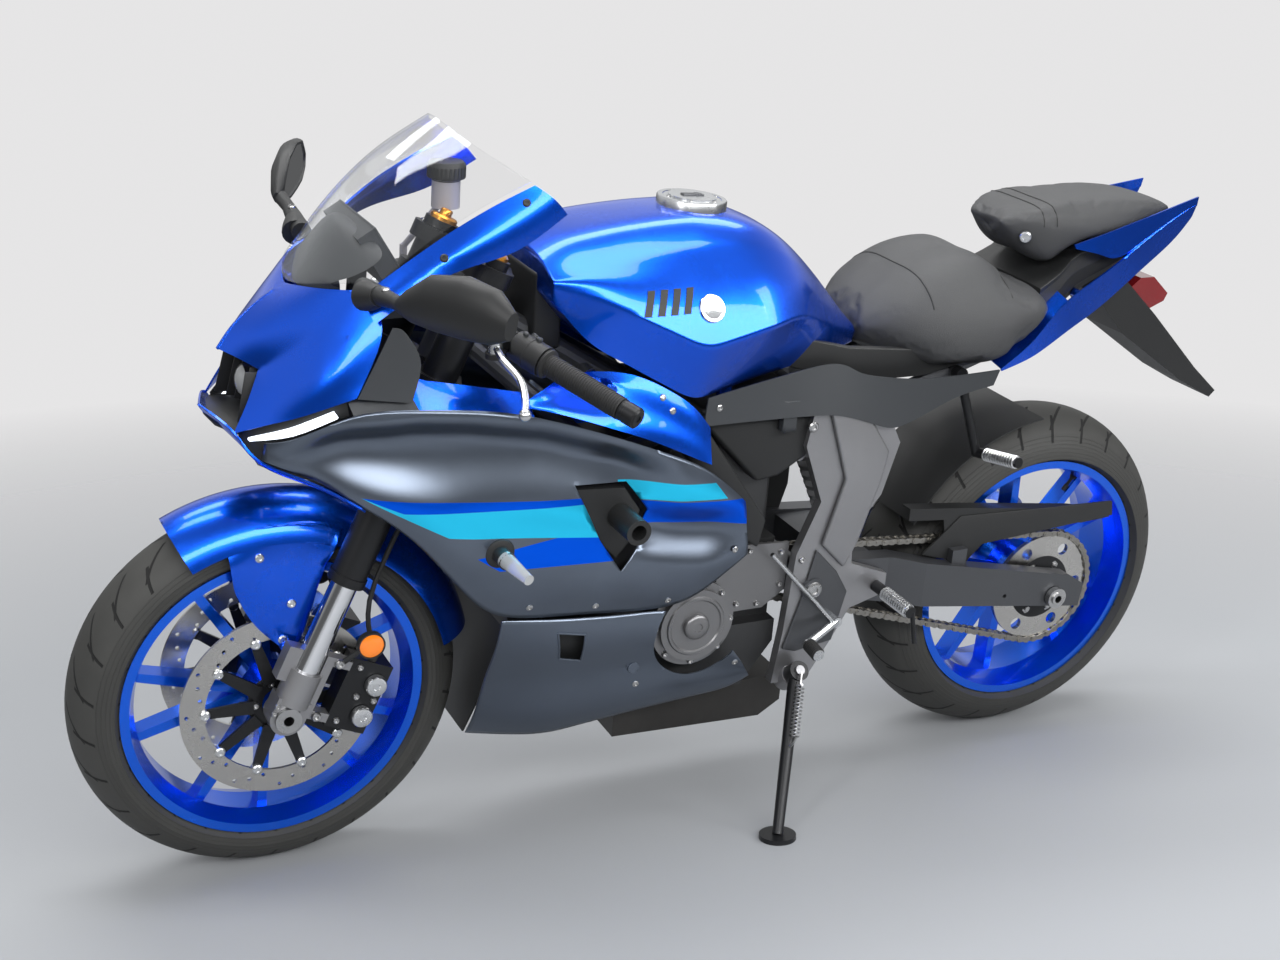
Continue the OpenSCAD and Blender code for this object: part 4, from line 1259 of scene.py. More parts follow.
@dataclass
class FrontEnd:
    """Fittings that turn with the handlebar."""

    fork: ForkFrame = ForkFrame()
    bar_from: Point = (1129.7, 104.0, 904.3)
    bar_to: Point = (995.0, 350.0, 836.0)
    grip_r: float = 16.5
    grip_start: float = 152.0
    rib: float = 4.0
    caliper_x: float = -112.0
    reservoir: Point = (1076.0, -140.0, 0.0)
    reservoir_r: float = 29.0
    lobe_bolts: tuple[Point, ...] = ((1391, 412), (1378, 470), (1424, 548))

    def build(self, shop: Workshop) -> None:
        """Make every fitting.

        Args:
            shop: the workshop.
        """
        self.caps(shop)
        self.brakes(shop)
        self.reflectors(shop)
        self.bars(shop)
        self.fender(shop)

    def caps(self, shop: Workshop) -> None:
        """Adjusters on the fork legs and the nut on the stem."""
        legs = Form().lathe([(TIP, 768), (5, 768), (5, 770), (8, 770), (9.6, 768), (9.6, 760), (19, 760),
                             (21.8, 757), (21.8, 752)],
                            self.fork.at(0, self.fork.leg_y, 0), self.fork.up(), 32)
        shop.pair(legs, "fork_caps", Body.STEERING, "gold_cap")
        nut = Form().lathe([(TIP, 752), (9, 752), (9, 755), (16, 755), (23, 751), (23, 744)],
                           self.fork.at(-self.fork.offset, 0, 0), self.fork.up(), 24)
        behind = -self.fork.offset - 12
        for x, y in ((behind, 30), (behind, -30), (20, 122), (20, -122)):
            nut.bolt(self.fork.at(x, y, 739), self.fork.up(), 6.0)
        shop.piece(nut.clean(), "stem_nut", Body.STEERING, "axle_steel")

    def brakes(self, shop: Workshop) -> None:
        """Bright caps on the caliper's pistons, and its bolts."""
        caps = Form()
        for z in (30, 84):
            caps.lathe([(TIP, 122), (4.5, 122), (5.5, 123.5), (11, 123.5), (15, 122.5), (16.8, 120),
                        (16.8, 112)], self.fork.at(self.caliper_x, 0, z), ACROSS, 32)
        shop.pair(caps, "caliper_caps", Body.STEERING, "lever_alloy")
        bolts = Form()
        for x, z in ((-78, 12), (-78, 104), (-122, 57), (-92, 57)):
            bolts.bolt(self.fork.at(x, 110, z), ACROSS, 5.5, 4.0)
        for z in (13, 103):
            bolts.bolt(self.fork.at(-42, 114, z), ACROSS, 8.0, 6.0)
        for z in (10, 22):
            bolts.bolt(self.fork.at(24, 120, z - 6), ACROSS, 4.5, 3.0)
        shop.pair(bolts, "caliper_bolts", Body.STEERING, "axle_steel")

    def reflectors(self, shop: Workshop) -> None:
        """Amber lens in a black cup on a stay from each fork bottom."""
        centre = self.fork.at(-66, 0, 152)
        cup = Form().lathe([(TIP, 127), (17, 127), (21, 129), (21, 140), (19, 140), (19, 137), (TIP, 137)],
                           centre, ACROSS, 40)
        cup.tube([self.fork.at(-46, 112, 104), self.fork.at(-54, 122, 126), self.fork.at(-64, 127, 148)], 4.5)
        shop.pair(cup, "reflector_cups", Body.STEERING, "black_plastic")
        lens = Form().lathe([(TIP, 142), (8, 141.8), (14, 141), (18.6, 139), (18.6, 136.6)], centre,
                            ACROSS, 40)
        shop.pair(lens, "reflector_lenses", Body.STEERING, "amber_lens")

    def bars(self, shop: Workshop) -> None:
        """Ribbed grips, bar ends, switches and the reservoir's cap."""
        start, end = Vector(self.bar_from), Vector(self.bar_to)
        along = (end - start).normalized()
        length = (end - start).length
        profile = [(11.3, self.grip_start), (21.5, self.grip_start), (21.5, 156), (18.5, 157.5)]
        for i in range(int((length - 160) / self.rib)):
            at = 158.5 + i * self.rib
            profile += [(self.grip_r, at), (self.grip_r, at + 1.6), (self.grip_r - 0.9, at + 2.2),
                        (self.grip_r - 0.9, at + 3.6)]
        profile += [(self.grip_r, length - 1.5), (self.grip_r - 1, length), (11.3, length)]
        grips = Form().lathe(profile, start, along, 28)
        shop.pair(grips, "grip_sleeves", Body.STEERING, "rubber_black", ("grips",), 30.0)
        ends = Form().lathe([(TIP, 27), (5, 27), (5, 30), (12, 30), (15.6, 26.5), (15.6, 9), (14, 8),
                             (14, 4), (15.6, 3), (15.6, 2)], end, along, 28)
        shop.pair(ends, "bar_ends", Body.STEERING, "black_metal")
        toward = Vector((-0.75, 0, 0.66))
        back = (toward - along * toward.dot(along)).normalized()
        low = along.cross(back)
        knobs = Form()
        for s, tilt, r in ((112, 0.0, 6.0), (128, 0.55, 5.0), (130, -0.5, 4.5), (108, 0.8, 4.0)):
            way = (back * math.cos(tilt) + low * math.sin(tilt)).normalized()
            knobs.lathe([(TIP, 27.5), (r - 1.2, 27.5), (r, 26.3), (r, 20)], start + along * s, way, 16)
        shop.pair(knobs, "switch_knobs", Body.STEERING, "grey_plastic")
        seam = Form().lathe([(23.2, 123), (23.7, 123.5), (23.7, 124.5), (23.2, 125)], start, along, 36)
        shop.pair(seam, "switch_seams", Body.STEERING, "rubber_black")
        cap = Form().lathe([(TIP, 1072), (18, 1072), (26, 1071), (self.reservoir_r, 1067),
                            (self.reservoir_r, 1046), (22.2, 1046), (22.2, 1042)], self.reservoir, UP, 40)
        rib_at = Vector(self.reservoir) + Vector((self.reservoir_r, 0, 1056))
        ribs = Form().block(rib_at, (1.8, 3.6, 17)).around(26, self.reservoir, UP)
        shop.piece(cap.clean(), "reservoir_cap", Body.STEERING, "black_plastic")
        shop.piece(ribs.clean(), "reservoir_ribs", Body.STEERING, "black_plastic")

    def fender(self, shop: Workshop) -> None:
        """Bright bolts on each fender lobe."""
        skin = shop.surface("front_fender")
        bolts = Form()
        for x, z in self.lobe_bolts:
            spot, way = skin.side(x, z)
            bolts.bolt(spot, way, 7.0, 3.5)
        shop.pair(bolts, "fender_bolts", Body.STEERING, "lever_alloy")


@dataclass
class WheelBolts:
    """Bobbins, hub bolts and valves that turn with the wheels."""

    disc_r: float = 149.0
    valve_reach: float = 207.0
    valve_turn: float = 2.2

    def build(self, shop: Workshop, stance: Stance) -> None:
        """Make the fittings of both wheels.

        Args:
            shop: the workshop.
            stance: where the axles are.
        """
        front, rear = Vector((stance.wheelbase, 0, stance.front_r)), Vector((0, 0, stance.rear_r))
        arm = Vector((self.disc_r - 37.0, 0, 0))
        bobbins = Form().lathe([(TIP, 74), (3.5, 74), (3.5, 75), (6, 75), (8.2, 73), (8.2, 62)],
                               front + arm, ACROSS, 16)
        bobbins.around(10, front, ACROSS)
        shop.pair(bobbins, "disc_bobbins", Body.FRONT_WHEEL, "lever_alloy")
        hub = Form().bolt(front + Vector((35, 64, 0)), ACROSS, 6.0, 4.0).around(5, front, ACROSS)
        shop.pair(hub, "front_hub_bolts", Body.FRONT_WHEEL, "axle_steel")
        nuts = Form().lathe([(TIP, 116), (5, 116), (6, 114.5), (6, 113), (9.5, 113), (9.5, 109)],
                            rear + Vector((46, 0, 0)), ACROSS, 6).around(6, rear, ACROSS)
        shop.piece(nuts.clean(), "sprocket_nuts", Body.REAR_WHEEL, "axle_steel")
        bolts = Form().bolt(rear + Vector((43, -92, 0)), (0, -1, 0), 6.0, 4.0).around(5, rear, ACROSS)
        shop.piece(bolts.clean(), "rear_disc_bolts", Body.REAR_WHEEL, "axle_steel")
        reach = self.valve_reach
        way = Vector((math.cos(self.valve_turn), 0, math.sin(self.valve_turn)))
        for name, body, hub_at in (("front_valve", Body.FRONT_WHEEL, front),
                                   ("rear_valve", Body.REAR_WHEEL, rear)):
            valve = Form().lathe([(TIP, reach - 34), (3.4, reach - 34), (4.2, reach - 32), (4.2, reach - 22),
                                  (3.0, reach - 20), (3.0, reach - 8), (6.0, reach - 4), (6.0, reach + 1)],
                                 hub_at + Vector((0, 14, 0)), way, 12)
            shop.piece(valve.clean(), name, body, "rubber_black")


@dataclass
class Chain:
    """Roller chain round the two sprockets."""

    rear: Point = (0.0, REAR_R)
    gear: Point = (600.0, 430.0)
    rear_r: float = 106.0
    gear_r: float = 41.0
    y: float = 106.0
    links: int = 106
    plate_r: float = 6.2
    waist: float = 3.9

    def loop(self) -> list[Vector]:
        """Pin places round the loop, one link apart."""
        run = Vector(self.gear) - Vector(self.rear)
        bearing = math.atan2(run.y, run.x)
        lean = math.acos((self.rear_r - self.gear_r) / run.length)
        straight = math.sqrt(run.length ** 2 - (self.rear_r - self.gear_r) ** 2)
        parts = (straight, self.gear_r * 2 * lean, straight, self.rear_r * 2 * (math.pi - lean))
        pins = []
        for i in range(self.links):
            s = sum(parts) * i / self.links
            pins.append(self.spot(s, parts, bearing, lean))
        return pins

    def spot(self, s: float, parts: Sequence[float], bearing: float, lean: float) -> Vector:
        """One place on the loop.

        Args:
            s: the way along it from the rear sprocket's top.
            parts: lengths of its four parts.
            bearing: direction of the line of centres.
            lean: angle from that line to where the chain leaves a sprocket.

        Returns:
            The place.
        """
        def rim(centre: Point, radius: float, angle: float) -> Vector:
            """A place on a sprocket's pitch circle."""
            return Vector((centre[0] + radius * math.cos(angle), self.y,
                           centre[1] + radius * math.sin(angle)))
        top = bearing + lean
        if s < parts[0]:
            return rim(self.rear, self.rear_r, top).lerp(rim(self.gear, self.gear_r, top), s / parts[0])
        s -= parts[0]
        if s < parts[1]:
            return rim(self.gear, self.gear_r, top - s / self.gear_r)
        s -= parts[1]
        low = bearing - lean
        if s < parts[2]:
            return rim(self.gear, self.gear_r, low).lerp(rim(self.rear, self.rear_r, low), s / parts[2])
        return rim(self.rear, self.rear_r, low - (s - parts[2]) / self.rear_r)

    def build(self, shop: Workshop) -> None:
        """Make rollers, pins and plates.

        Args:
            shop: the workshop.
        """
        pins = self.loop()
        form = Form()
        for i, pin in enumerate(pins):
            form.lathe([(TIP, -9.2), (2.5, -9.2), (2.5, -4.6), (4.9, -4.6), (4.9, 4.6), (2.5, 4.6),
                        (2.5, 9.2), (TIP, 9.2)], pin, ACROSS, 8)
            step = pins[(i + 1) % len(pins)] - pin
            ahead, side = step.normalized(), step.cross(Vector(ACROSS)).normalized()
            inner, thick = (5.0, 1.5) if i % 2 else (6.7, 1.6)
            for sign in (-1, 1):
                base = pin + Vector((0, sign * inner, 0))
                outline = [base + (ahead * a + side * b) * self.plate_r for a, b in
                           ((-0.5, 0.87), (-1, 0), (-0.5, -0.87), (0.5, -0.87))]
                waist = [base + step * 0.5 - side * self.waist]
                far = [base + step + (ahead * a + side * b) * self.plate_r for a, b in
                       ((-0.5, -0.87), (0.5, -0.87), (1, 0), (0.5, 0.87), (-0.5, 0.87))]
                back = [base + step * 0.5 + side * self.waist, base + ahead * 3.1 + side * 5.4]
                form.plate(outline + waist + far + back, (0, sign * thick, 0))
        bmesh.ops.recalc_face_normals(form.bm, faces=form.bm.faces[:])
        shop.piece(form, "chain_links", Body.FRAME, "chain_steel", ("chain",), 40.0)


@dataclass
class EngineBay:
    """Bolts and caps on engine, frame and swingarm pivot."""

    cover: Point = (740.0, 0.0, 375.0)
    cover_r: float = 68.0
    pivot: Point = (520.0, 158.0, 405.0)
    case_bolts: tuple[Point, ...] = ((574, 470), (572, 412), (634, 480), (612, 382), (650, 386))
    plate_bolts: tuple[Point, ...] = ((540, 300, 7), (470, 690, 9), (552, 694, 9), (452, 652, 8),
                                      (545, 460, 6))

    def build(self, shop: Workshop) -> None:
        """Make every fitting.

        Args:
            shop: the workshop.
        """
        centre = Vector(self.cover)
        bolts = Form().bolt(centre + Vector((self.cover_r, 152, 0)), ACROSS, 5.0, 5.0)
        bolts.around(8, centre, ACROSS).both_sides()
        for x, z in self.case_bolts:
            bolts.bolt((x, 130, z), ACROSS, 5.0, 5.0)
        shop.piece(bolts.clean(), "cover_bolts", Body.FRAME, "axle_steel")
        cap = Form().lathe([(TIP, 170), (7, 170), (8, 172), (17, 172), (21, 169.5), (22.4, 167),
                            (22.4, 161)], centre, ACROSS, 32)
        cap.lathe([(44, 162), (46, 164.5), (50, 164.5), (52, 162)], centre, ACROSS, 48)
        shop.pair(cap, "cover_caps", Body.FRAME, "engine_bright")
        plugs = Form().bolt(self.pivot, ACROSS, 15, 4.0)
        plate = shop.surface("pivot_plates")
        for x, z, r in self.plate_bolts:
            spot, way = plate.side(x, z)
            plugs.bolt(spot, way, r, 4.0)
        shop.pair(plugs, "plate_bolts", Body.FRAME, "axle_steel")


@dataclass
class BodyTrim:
    """Small fittings on the painted and moulded panels."""

    fairing: tuple[Point, ...] = ((1048, 470), (938, 456), (812, 446), (702, 520))
    belly: tuple[Point, ...] = ((841, 287), (664, 300))
    upper: tuple[Point, ...] = ((840, 778), (824, 757))
    covers: tuple[Point, ...] = ((735, 748),)
    wing: tuple[Point, ...] = ((1195, 1012), (1075, 1082))
    slot_rows: tuple[float, ...] = (872.0, 850.0, 828.0, 806.0)
    disc_at: Point = (769.0, 911.0)
    vent_depth: float = 16.0
    vent_spread: float = 1.35
    cap_at: Point = (725.0, 0.0, 1026.0)
    cap_tilt: float = -3.0

    def build(self, shop: Workshop) -> None:
        """Make every fitting.

        Args:
            shop: the workshop.
        """
        self.screws(shop)
        self.tank(shop)
        self.lower_vent(shop)
        self.cap(shop)

    def screws(self, shop: Workshop) -> None:
        """Screws of the panels and the screen."""
        dark = Form()
        for node, places in (("side_fairings", self.fairing), ("belly_pan", self.belly),
                             ("upper_panels", self.upper), ("side_covers", self.covers)):
            skin = shop.surface(node)
            for x, z in places:
                spot, way = skin.side(x, z)
                dark.bolt(spot, way, 5.5, 2.2)
        shop.pair(dark, "panel_screws", Body.FRAME, "axle_steel")
        wing = shop.surface("upper_cowl")
        screws = Form()
        for x, z in self.wing:
            spot, way = wing.side(x, z)
            screws.bolt(spot, way, 6.0, 2.6)
        shop.pair(screws, "wing_screws", Body.FRAME, "black_plastic")

    def tank(self, shop: Workshop) -> None:
        """Slanted slots in the tank's side and the plain disc behind them."""
        skin = shop.surface("fuel_tank")
        slots = Form()
        for x in self.slot_rows:
            rows = [[skin.side(x + lean + wide, z)[0] + Vector((0, 0.9, 0)) for wide in (-6, 0, 6)]
                    for lean, z in ((-6, 941), (-3, 932), (0, 924), (3, 916), (6, 907))]
            slots.sheet(rows, 3.0)
        shop.pair(slots, "tank_slots", Body.FRAME, "black_plastic")
        spot, way = skin.side(*self.disc_at)
        disc = Form().lathe([(TIP, 1.8), (13, 2.0), (15.5, 2.2), (16.5, 3.4), (20, 3.4), (21.5, 1.8),
                             (21.5, -4)], spot, way, 40)
        shop.pair(disc, "tank_discs", Body.FRAME, "fork_chrome")

    def lower_vent(self, shop: Workshop) -> None:
        """Dark slot low in the belly pan."""
        skin = shop.surface("belly_pan")
        outline = Panels.slot
        spots = [skin.side(x, z)[0] for x, z in outline]
        middle = sum(spots, Vector()) / len(spots)
        inward = Vector((0, self.vent_depth, 0))
        back = [middle + (spot - middle) * self.vent_spread - inward for spot in spots]
        shop.pair(Form().plate(back, (0, -3, 0)), "lower_slots", Body.FRAME, "black_plastic")
        lip = Form()
        for (x0, z0), (x1, z1) in zip(outline, outline[1:] + outline[:1]):
            lip.tube([skin.side(x0 + (x1 - x0) * k / 6, z0 + (z1 - z0) * k / 6)[0] for k in range(7)], 2.0, 8)
        shop.pair(lip, "lower_slot_lips", Body.FRAME, "graphite")

    def cap(self, shop: Workshop) -> None:
        """Bright filler ring, with bolts and key flap on the lid."""
        tilt = Matrix.Translation(self.cap_at) @ Matrix.Rotation(math.radians(self.cap_tilt), 4, "Y")
        ring = Form().lathe([(46.3, 7), (46.3, 11), (54, 11), (55.2, 9), (55.2, -8)], axis=UP, steps=64)
        shop.piece(ring.move(tilt).clean(), "filler_ring", Body.FRAME, "lever_alloy")
        bolts = Form().bolt((41.6, 0, 10.3), UP, 2.8, 1.8).around(6, (0, 0, 0), UP).move(tilt)
        shop.piece(bolts.clean(), "lid_bolts", Body.CAP, "axle_steel")
        flap = Form().block((0, 0, 14), (36, 13, 3)).bevel(1.2, 2)
        flap.lathe([(TIP, 16.4), (5, 16.4), (6, 15.8), (6, 13)], (-8, 0, 0), UP, 20).move(tilt)
        shop.piece(flap, "lid_flap", Body.CAP, "dark_metal")


@dataclass
class Cockpit:
    """Dash, lamp, mirror glass and the nose's dark inner faces."""

    dash_at: Point = (1250.0, 0.0, 985.0)
    dash_tilt: float = -58.0
    lamp_at: Point = (0.0, 0.0, 795.0)
    mirror_at: Point = (1244.0, 400.0, 1008.0)
    mirror_way: Point = (0.896, 0.443, 0.0)
    mirror_path: tuple[Point, ...] = ((1297, 292, 985), (1288, 314, 990), (1268, 350, 1003),
                                      (1244, 400, 1010), (1224, 442, 1009), (1212, 468, 1004))
    mirror_radii: tuple[float, ...] = (9.0, 22.0, 37.0, 41.0, 36.0, 19.0)
    mirror_depth: float = 0.62
    glass_back: float = 9.0
    recess: tuple[tuple[Point, ...], ...] = (
        ((1456, 80, 752), (1424, 110, 772), (1384, 142, 794), (1326, 168, 818)),
        ((1452, 80, 738), (1422, 104, 748), (1384, 138, 766), (1322, 170, 792)),
        ((1438, 92, 716), (1416, 100, 716), (1380, 124, 730), (1328, 138, 768)),
        ((1432, 100, 704), (1404, 118, 694), (1364, 128, 684), (1322, 132, 690)))

    def build(self, shop: Workshop) -> None:
        """Make every piece.

        Args:
            shop: the workshop.
        """
        tilt = Matrix.Rotation(math.radians(self.dash_tilt), 4, "Y")
        tilt = Matrix.Translation(Vector(self.dash_at)) @ tilt
        bezel = Form().block((0, 0, 15), (92, 166, 4)).bevel(1.8, 2).move(tilt)
        shop.piece(bezel, "dash_bezel", Body.FRAME, "grey_plastic")
        pane = Form().block((4, 0, 17.4), (62, 124, 1.6)).bevel(0.6, 2).move(tilt)
        shop.piece(pane, "dash_pane", Body.FRAME, "lcd")
        dots = Form()
        for y in range(-60, 61, 20):
            dots.lathe([(TIP, 18.4), (2.2, 18.4), (2.8, 17.8), (2.8, 16)], (-36, y, 0), UP, 12)
        shop.piece(dots.move(tilt).clean(), "dash_lights", Body.FRAME, "amber_lens")
        self.lamp(shop)
        self.mirrors(shop)

    def lamp(self, shop: Workshop) -> None:
        """Round lamp in the mouth, its vanes and the black recess behind the strips."""
        bowl = Form().lathe([(TIP, 1421), (8, 1421.4), (16, 1423), (22, 1427), (24.4, 1427), (24.4, 1414)],
                            self.lamp_at, AHEAD, 40)
        shop.piece(bowl.clean(), "lamp_bowl", Body.FRAME, "black_metal")
        lens = Form().lathe([(TIP, 1438), (9, 1437), (17, 1433.5), (22, 1428.5), (23.6, 1425)],
                            self.lamp_at, AHEAD, 40)
        shop.piece(lens.clean(), "lamp_lens", Body.FRAME, "lens_clear")
        vanes = Form()
        for y, front, rear in ((66, 1452, 1402), (46, 1440, 1404), (30, 1432, 1404)):
            vanes.plate([(front - 14, y - 8, 828), (front, y, 758), (rear, y, 752), (rear, y - 8, 826)],
                        (0, 3, 0))
        vanes.both_sides()
        vanes.plate([(1404, -72, 838), (1404, 72, 838), (1408, 78, 748), (1408, -78, 748)], (-4, 0, 0))
        vanes.plate([(1402, -76, 748), (1402, 76, 748), (1456, 82, 748), (1478, 44, 750), (1484, 0, 752),
                     (1478, -44, 750), (1456, -82, 748)], (0, 0, -3))
        shop.piece(vanes.bevel(0.8, 2), "mouth_vanes", Body.FRAME, "black_plastic")
        shop.pair(Form().sheet(self.recess, 2.0), "strip_recesses", Body.FRAME, "black_plastic")
        glass = shop.surface("windscreen")
        rows = [[Vector((1356 - 52 * k * k, 114 * k, 930 + 24 * abs(k))) for k in (-1, -0.5, 0, 0.5, 1)]]
        for x, reach in ((1350, 0.6), (1328, 0.86), (1296, 0.98)):
            rows.append([glass.top(x - 26 * abs(k) * reach, y * reach)[0] - Vector((0, 0, 16)) for k, y in
                         ((-1, -128), (-0.5, -66), (0, 0), (0.5, 66), (1, 128))])
        rows.append([Vector((1268 - 14 * abs(k), 118 * k, 1028 - 22 * abs(k)))
                     for k in (-1, -0.5, 0, 0.5, 1)])
        cover = shop.baked(Form().sheet(rows, 2.0).clean(), 2)
        shop.piece(cover, "dash_cover", Body.FRAME, "grey_plastic")

    def mirrors(self, shop: Workshop) -> None:
        """Swept housings with their glass, on stalks from the cowl."""
        way = Vector(self.mirror_way)
        middle = Vector(self.mirror_at)
        shell = Form().tube(self.mirror_path, self.mirror_radii, 24)
        squash = Matrix.Scale(self.mirror_depth, 4, way)
        squash = Matrix.Translation(middle) @ squash @ Matrix.Translation(-middle)
        shell.move(squash).clean()
        bmesh.ops.bisect_plane(shell.bm, geom=shell.elements(),
                               plane_co=middle - way * self.glass_back, plane_no=-way, clear_outer=True)
        rim = [e for e in shell.bm.edges if e.is_boundary]
        face = bmesh.ops.holes_fill(shell.bm, edges=rim, sides=0)["faces"]
        bmesh.ops.inset_region(shell.bm, faces=face, thickness=4.0, depth=0.0)
        bmesh.ops.inset_region(shell.bm, faces=face, thickness=1.0, depth=-2.0)
        for part in face:
            part.material_index = 1
        shell.tube([(1298, 150, 967), (1292, 212, 973), (1289, 256, 979), (1290, 300, 985)],
                   (15, 13, 10, 11), 16)
        shell.tube([(1302, 168, 962), (1298, 184, 966), (1294, 206, 972)], (21, 20, 14), 16)
        pair = shop.pair(shell, "mirror_pair", Body.FRAME, "black_plastic", ("mirrors",), 50.0)
        pair.data.materials.append(shop.paint.get("fork_chrome"))
        bolt = Form().bolt((1292, 226, 986), (-0.2, -0.1, 1), 6.0, 4.0)
        shop.pair(bolt, "mirror_bolts", Body.FRAME, "axle_steel")


@dataclass
class FootGear:
    """Ribbed pegs, the shift rubber, the stand's spring and the pillion lock."""

    stand_pin: Point = (545.0, 172.0, 262.0)
    stand_end: Point = (643.0, 321.8, 58.5)
    stand_axis: Point = (0.0, 0.75, 0.66)
    coil_off: float = 23.0
    coil_r: float = 6.5
    coil_steps: int = 141
    coil_rise: float = 0.62
    lock_seen_from: Point = (600.0, 400.0, 1100.0)
    lock_at: Point = (128.0, 75.0, 964.0)

    @staticmethod
    def ribbed(start: Point, end: Point, core: float, crest: float, pitch: float) -> Form:
        """A sleeve with rings.

        Args:
            start: one end.
            end: the other.
            core: radius between the rings.
            crest: radius on them.
            pitch: distance between them.

        Returns:
            The sleeve.
        """
        a, b = Vector(start), Vector(end)
        length = (b - a).length
        profile = [(TIP, 0.0), (core, 0.0)]
        for i in range(int(length / pitch)):
            s = i * pitch
            profile += [(core, s + 0.5), (crest, s + 1.2), (crest, s + pitch * 0.6), (core, s + pitch * 0.8)]
        profile += [(core, length), (TIP, length)]
        return Form().lathe(profile, a, b - a, 24)

    def build(self, shop: Workshop) -> None:
        """Make every piece.

        Args:
            shop: the workshop.
        """
        pegs = self.ribbed((390, 178, 390), (385, 249, 386), 10.2, 12.5, 6.0)
        shop.pair(pegs, "rider_peg_rings", Body.FRAME, "lever_alloy")
        rear = self.ribbed((201, 150, 610), (190, 224, 622), 9.2, 11.5, 6.0)
        shop.pair(rear, "pillion_peg_rings", Body.FRAME, "lever_alloy")
        toe = self.ribbed((540, 194, 324.5), (541, 227, 321), 10.2, 12.0, 4.0)
        shop.pair(toe, "toe_rubbers", Body.FRAME, "rubber_black")
        self.spring(shop)
        eye = Vector(self.lock_seen_from)
        spot, way = shop.surface("pillion_seat").cast(eye, Vector(self.lock_at) - eye)
        lock = Form().lathe([(TIP, 1.0), (4, 1.0), (5, 2.4), (8.5, 2.4), (10, 1.0), (10, -5)], spot, way, 28)
        shop.piece(lock.clean(), "seat_lock", Body.FRAME, "lever_alloy")

    def spring(self, shop: Workshop) -> None:
        """Coil spring beside the stand's leg."""
        pin, foot = Vector(self.stand_pin), Vector(self.stand_end)
        along = (foot - pin).normalized()
        axis = Vector(self.stand_axis).normalized()
        side = (axis - along * axis.dot(along)).normalized()
        lift = along.cross(side)
        start = pin + along * 26 + side * self.coil_off
        path = []
        for i in range(self.coil_steps):
            turn = math.tau * i / 10
            ring = side * math.cos(turn) + lift * math.sin(turn)
            path.append(start + along * (i * self.coil_rise) + ring * self.coil_r)
        form = Form().tube(path, 1.5, 6)
        form.tube([pin + side * self.coil_off + along * 4, start, path[0]], 2.0, 8)
        form.tube([path[-1], start + along * 96, pin + along * 128 + side * 11], 2.0, 8)
        shop.piece(form.clean(), "stand_spring", Body.STAND, "axle_steel")


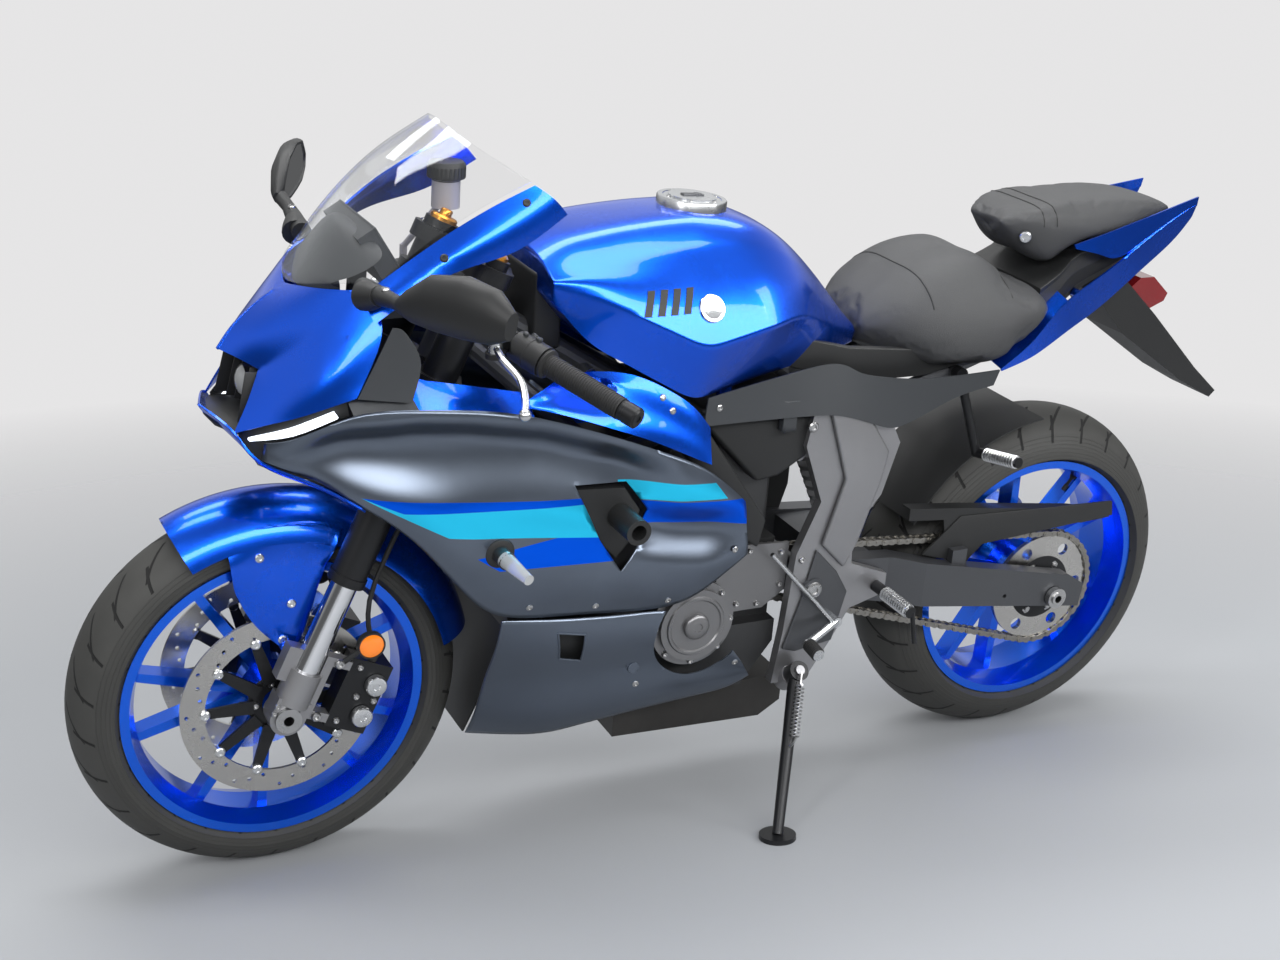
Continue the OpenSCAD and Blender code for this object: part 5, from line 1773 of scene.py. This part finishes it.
@dataclass
class Inners:
    """Pieces between the panels, and the castings of the engine bay."""

    thick: float = 2.5
    strip: tuple[tuple[Point, ...], ...] = (
        ((1236, 152, 838), (1210, 156, 828), (1140, 160, 815), (1060, 166, 800)),
        ((1238, 194, 795), (1210, 196, 796), (1140, 201, 790), (1060, 204, 776)))
    ledge: tuple[tuple[Point, ...], ...] = (
        ((1326, 168, 816), (1290, 170, 822), (1252, 166, 824), (1226, 156, 832)),
        ((1318, 180, 793), (1290, 186, 796), (1252, 193, 797), (1226, 194, 796)))
    casting: tuple[Point, ...] = ((526, 722), (482, 598), (513, 484), (466, 438), (444, 482), (412, 592),
                                  (404, 640), (452, 708))
    lower: tuple[Point, ...] = ((520, 476), (476, 432), (450, 391), (470, 302), (540, 292), (566, 300),
                                (540, 386))
    air_box: tuple[Point, ...] = ((742, 716), (519, 712), (513, 664), (600, 610), (640, 604), (734, 700))
    spar: tuple[Point, ...] = ((800, 742), (764, 730), (630, 548), (640, 500), (676, 524), (812, 706))
    guard: tuple[Point, ...] = ((284, 423), (213, 487), (-122, 476), (-128, 448), (158, 427), (190, 394))
    shelf: tuple[tuple[Point, ...], ...] = (
        ((198, 151, 764), (142, 147, 800), (104, 141, 837), (64, 133, 867)),
        ((198, 106, 772), (142, 104, 808), (104, 102, 845), (64, 100, 875)))
    inner: tuple[Point, ...] = ((424, 480), (424, 740), (760, 750), (800, 480), (650, 290), (480, 290))
    base: tuple[Point, ...] = ((628, 800), (600, 842), (480, 812), (350, 800), (240, 806), (212, 776),
                               (330, 752), (480, 752))

    @staticmethod
    def wall(outline: Sequence[Point], near: float, far: float, round_by: float) -> Form:
        """A rounded plate on each side of the bike.

        Args:
            outline: x and z of its corners.
            near: its inner y.
            far: its outer y.
            round_by: width of the rounding.

        Returns:
            The pair.
        """
        form = Form().plate([(x, near, z) for x, z in outline], (0, far - near, 0))
        return form.bevel(round_by, 3).both_sides().clean()

    def build(self, shop: Workshop) -> None:
        """Make every piece.

        Args:
            shop: the workshop.
        """
        shop.pair(Form().sheet(self.strip, self.thick), "inner_strips", Body.FRAME, "body_blue")
        shop.pair(Form().sheet(self.ledge, self.thick), "cowl_ledges", Body.FRAME, "grey_plastic")
        shop.piece(self.wall(self.casting, 149.5, 160, 5.0), "pivot_castings", Body.FRAME, "cast_grey")
        shop.piece(self.wall(self.lower, 149.5, 155, 3.0), "pivot_guards", Body.FRAME, "dark_metal")
        shop.piece(self.wall(self.air_box, 96, 140, 7.0), "air_box_sides", Body.FRAME, "black_plastic")
        shop.piece(self.wall(self.spar, 150, 166, 5.0), "frame_guards", Body.FRAME, "black_plastic")
        web = Form().plate([(x, 121, z) for x, z in self.guard], (0, 5, 0)).bevel(1.5, 2)
        shop.piece(web, "chain_guard_web", Body.FRAME, "black_plastic")
        shop.piece(self.wall(self.base, 108, 122, 3.0), "seat_skirts", Body.FRAME, "black_plastic")
        shop.pair(Form().sheet(self.shelf, self.thick), "rail_shelves", Body.FRAME, "body_blue")
        inner = Form().plate([(x, -106, z) for x, z in self.inner], (0, -6, 0)).bevel(1.5, 2)
        shop.piece(inner, "inner_wall", Body.FRAME, "black_plastic")
        front = Form().block((992, 0, 893), (46, 160, 120)).bevel(6.0, 3)
        shop.piece(front, "tank_front_cover", Body.FRAME, "black_plastic")
        head = Form().block((690, 0, 590), (190, 220, 150)).block((620, 0, 690), (210, 190, 60)).bevel(9.0, 3)
        shop.piece(head, "cylinder_head", Body.FRAME, "engine_dark")
        hub = Form().lathe([(16, 116), (38, 116), (54, 112), (61, 110.5), (61, 104)],
                           (0, 0, REAR_R), ACROSS, 48)
        shop.piece(hub.clean(), "sprocket_hub", Body.REAR_WHEEL, "black_metal")
        bases = Form().lathe([(TIP, 214), (14, 214), (22, 211), (24, 207), (24, 196)], (1105, 0, 572),
                             ACROSS, 32)
        bases.tube([(1105, 205, 572), (1105, 222, 572), (1103, 236, 570)], (15, 13, 14), 16)
        shop.pair(bases, "signal_bases", Body.FRAME, "black_plastic")


def main() -> None:
    """Build the bike's looks in order."""
    logging.basicConfig(level=logging.INFO, format="%(message)s")
    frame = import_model()
    stance = Stance.read(frame["joints"])
    shop = Workshop(frame, stance, Paint(stance))
    Studio().build()
    Wheel("front", Body.FRONT_WHEEL, (stance.wheelbase, 0, stance.front_r), FRONT_R, 120.0, 26).build(shop)
    Wheel("rear", Body.REAR_WHEEL, (0, 0, stance.rear_r), REAR_R, 180.0, 26).build(shop)
    Machinery().build(shop)
    Panels().build(shop)
    Seats().build(shop)
    FrontEnd().build(shop)
    WheelBolts().build(shop, stance)
    Chain().build(shop)
    EngineBay().build(shop)
    BodyTrim().build(shop)
    Cockpit().build(shop)
    FootGear().build(shop)
    Inners().build(shop)
    bpy.context.view_layer.update()


if __name__ == "__main__":
    main()
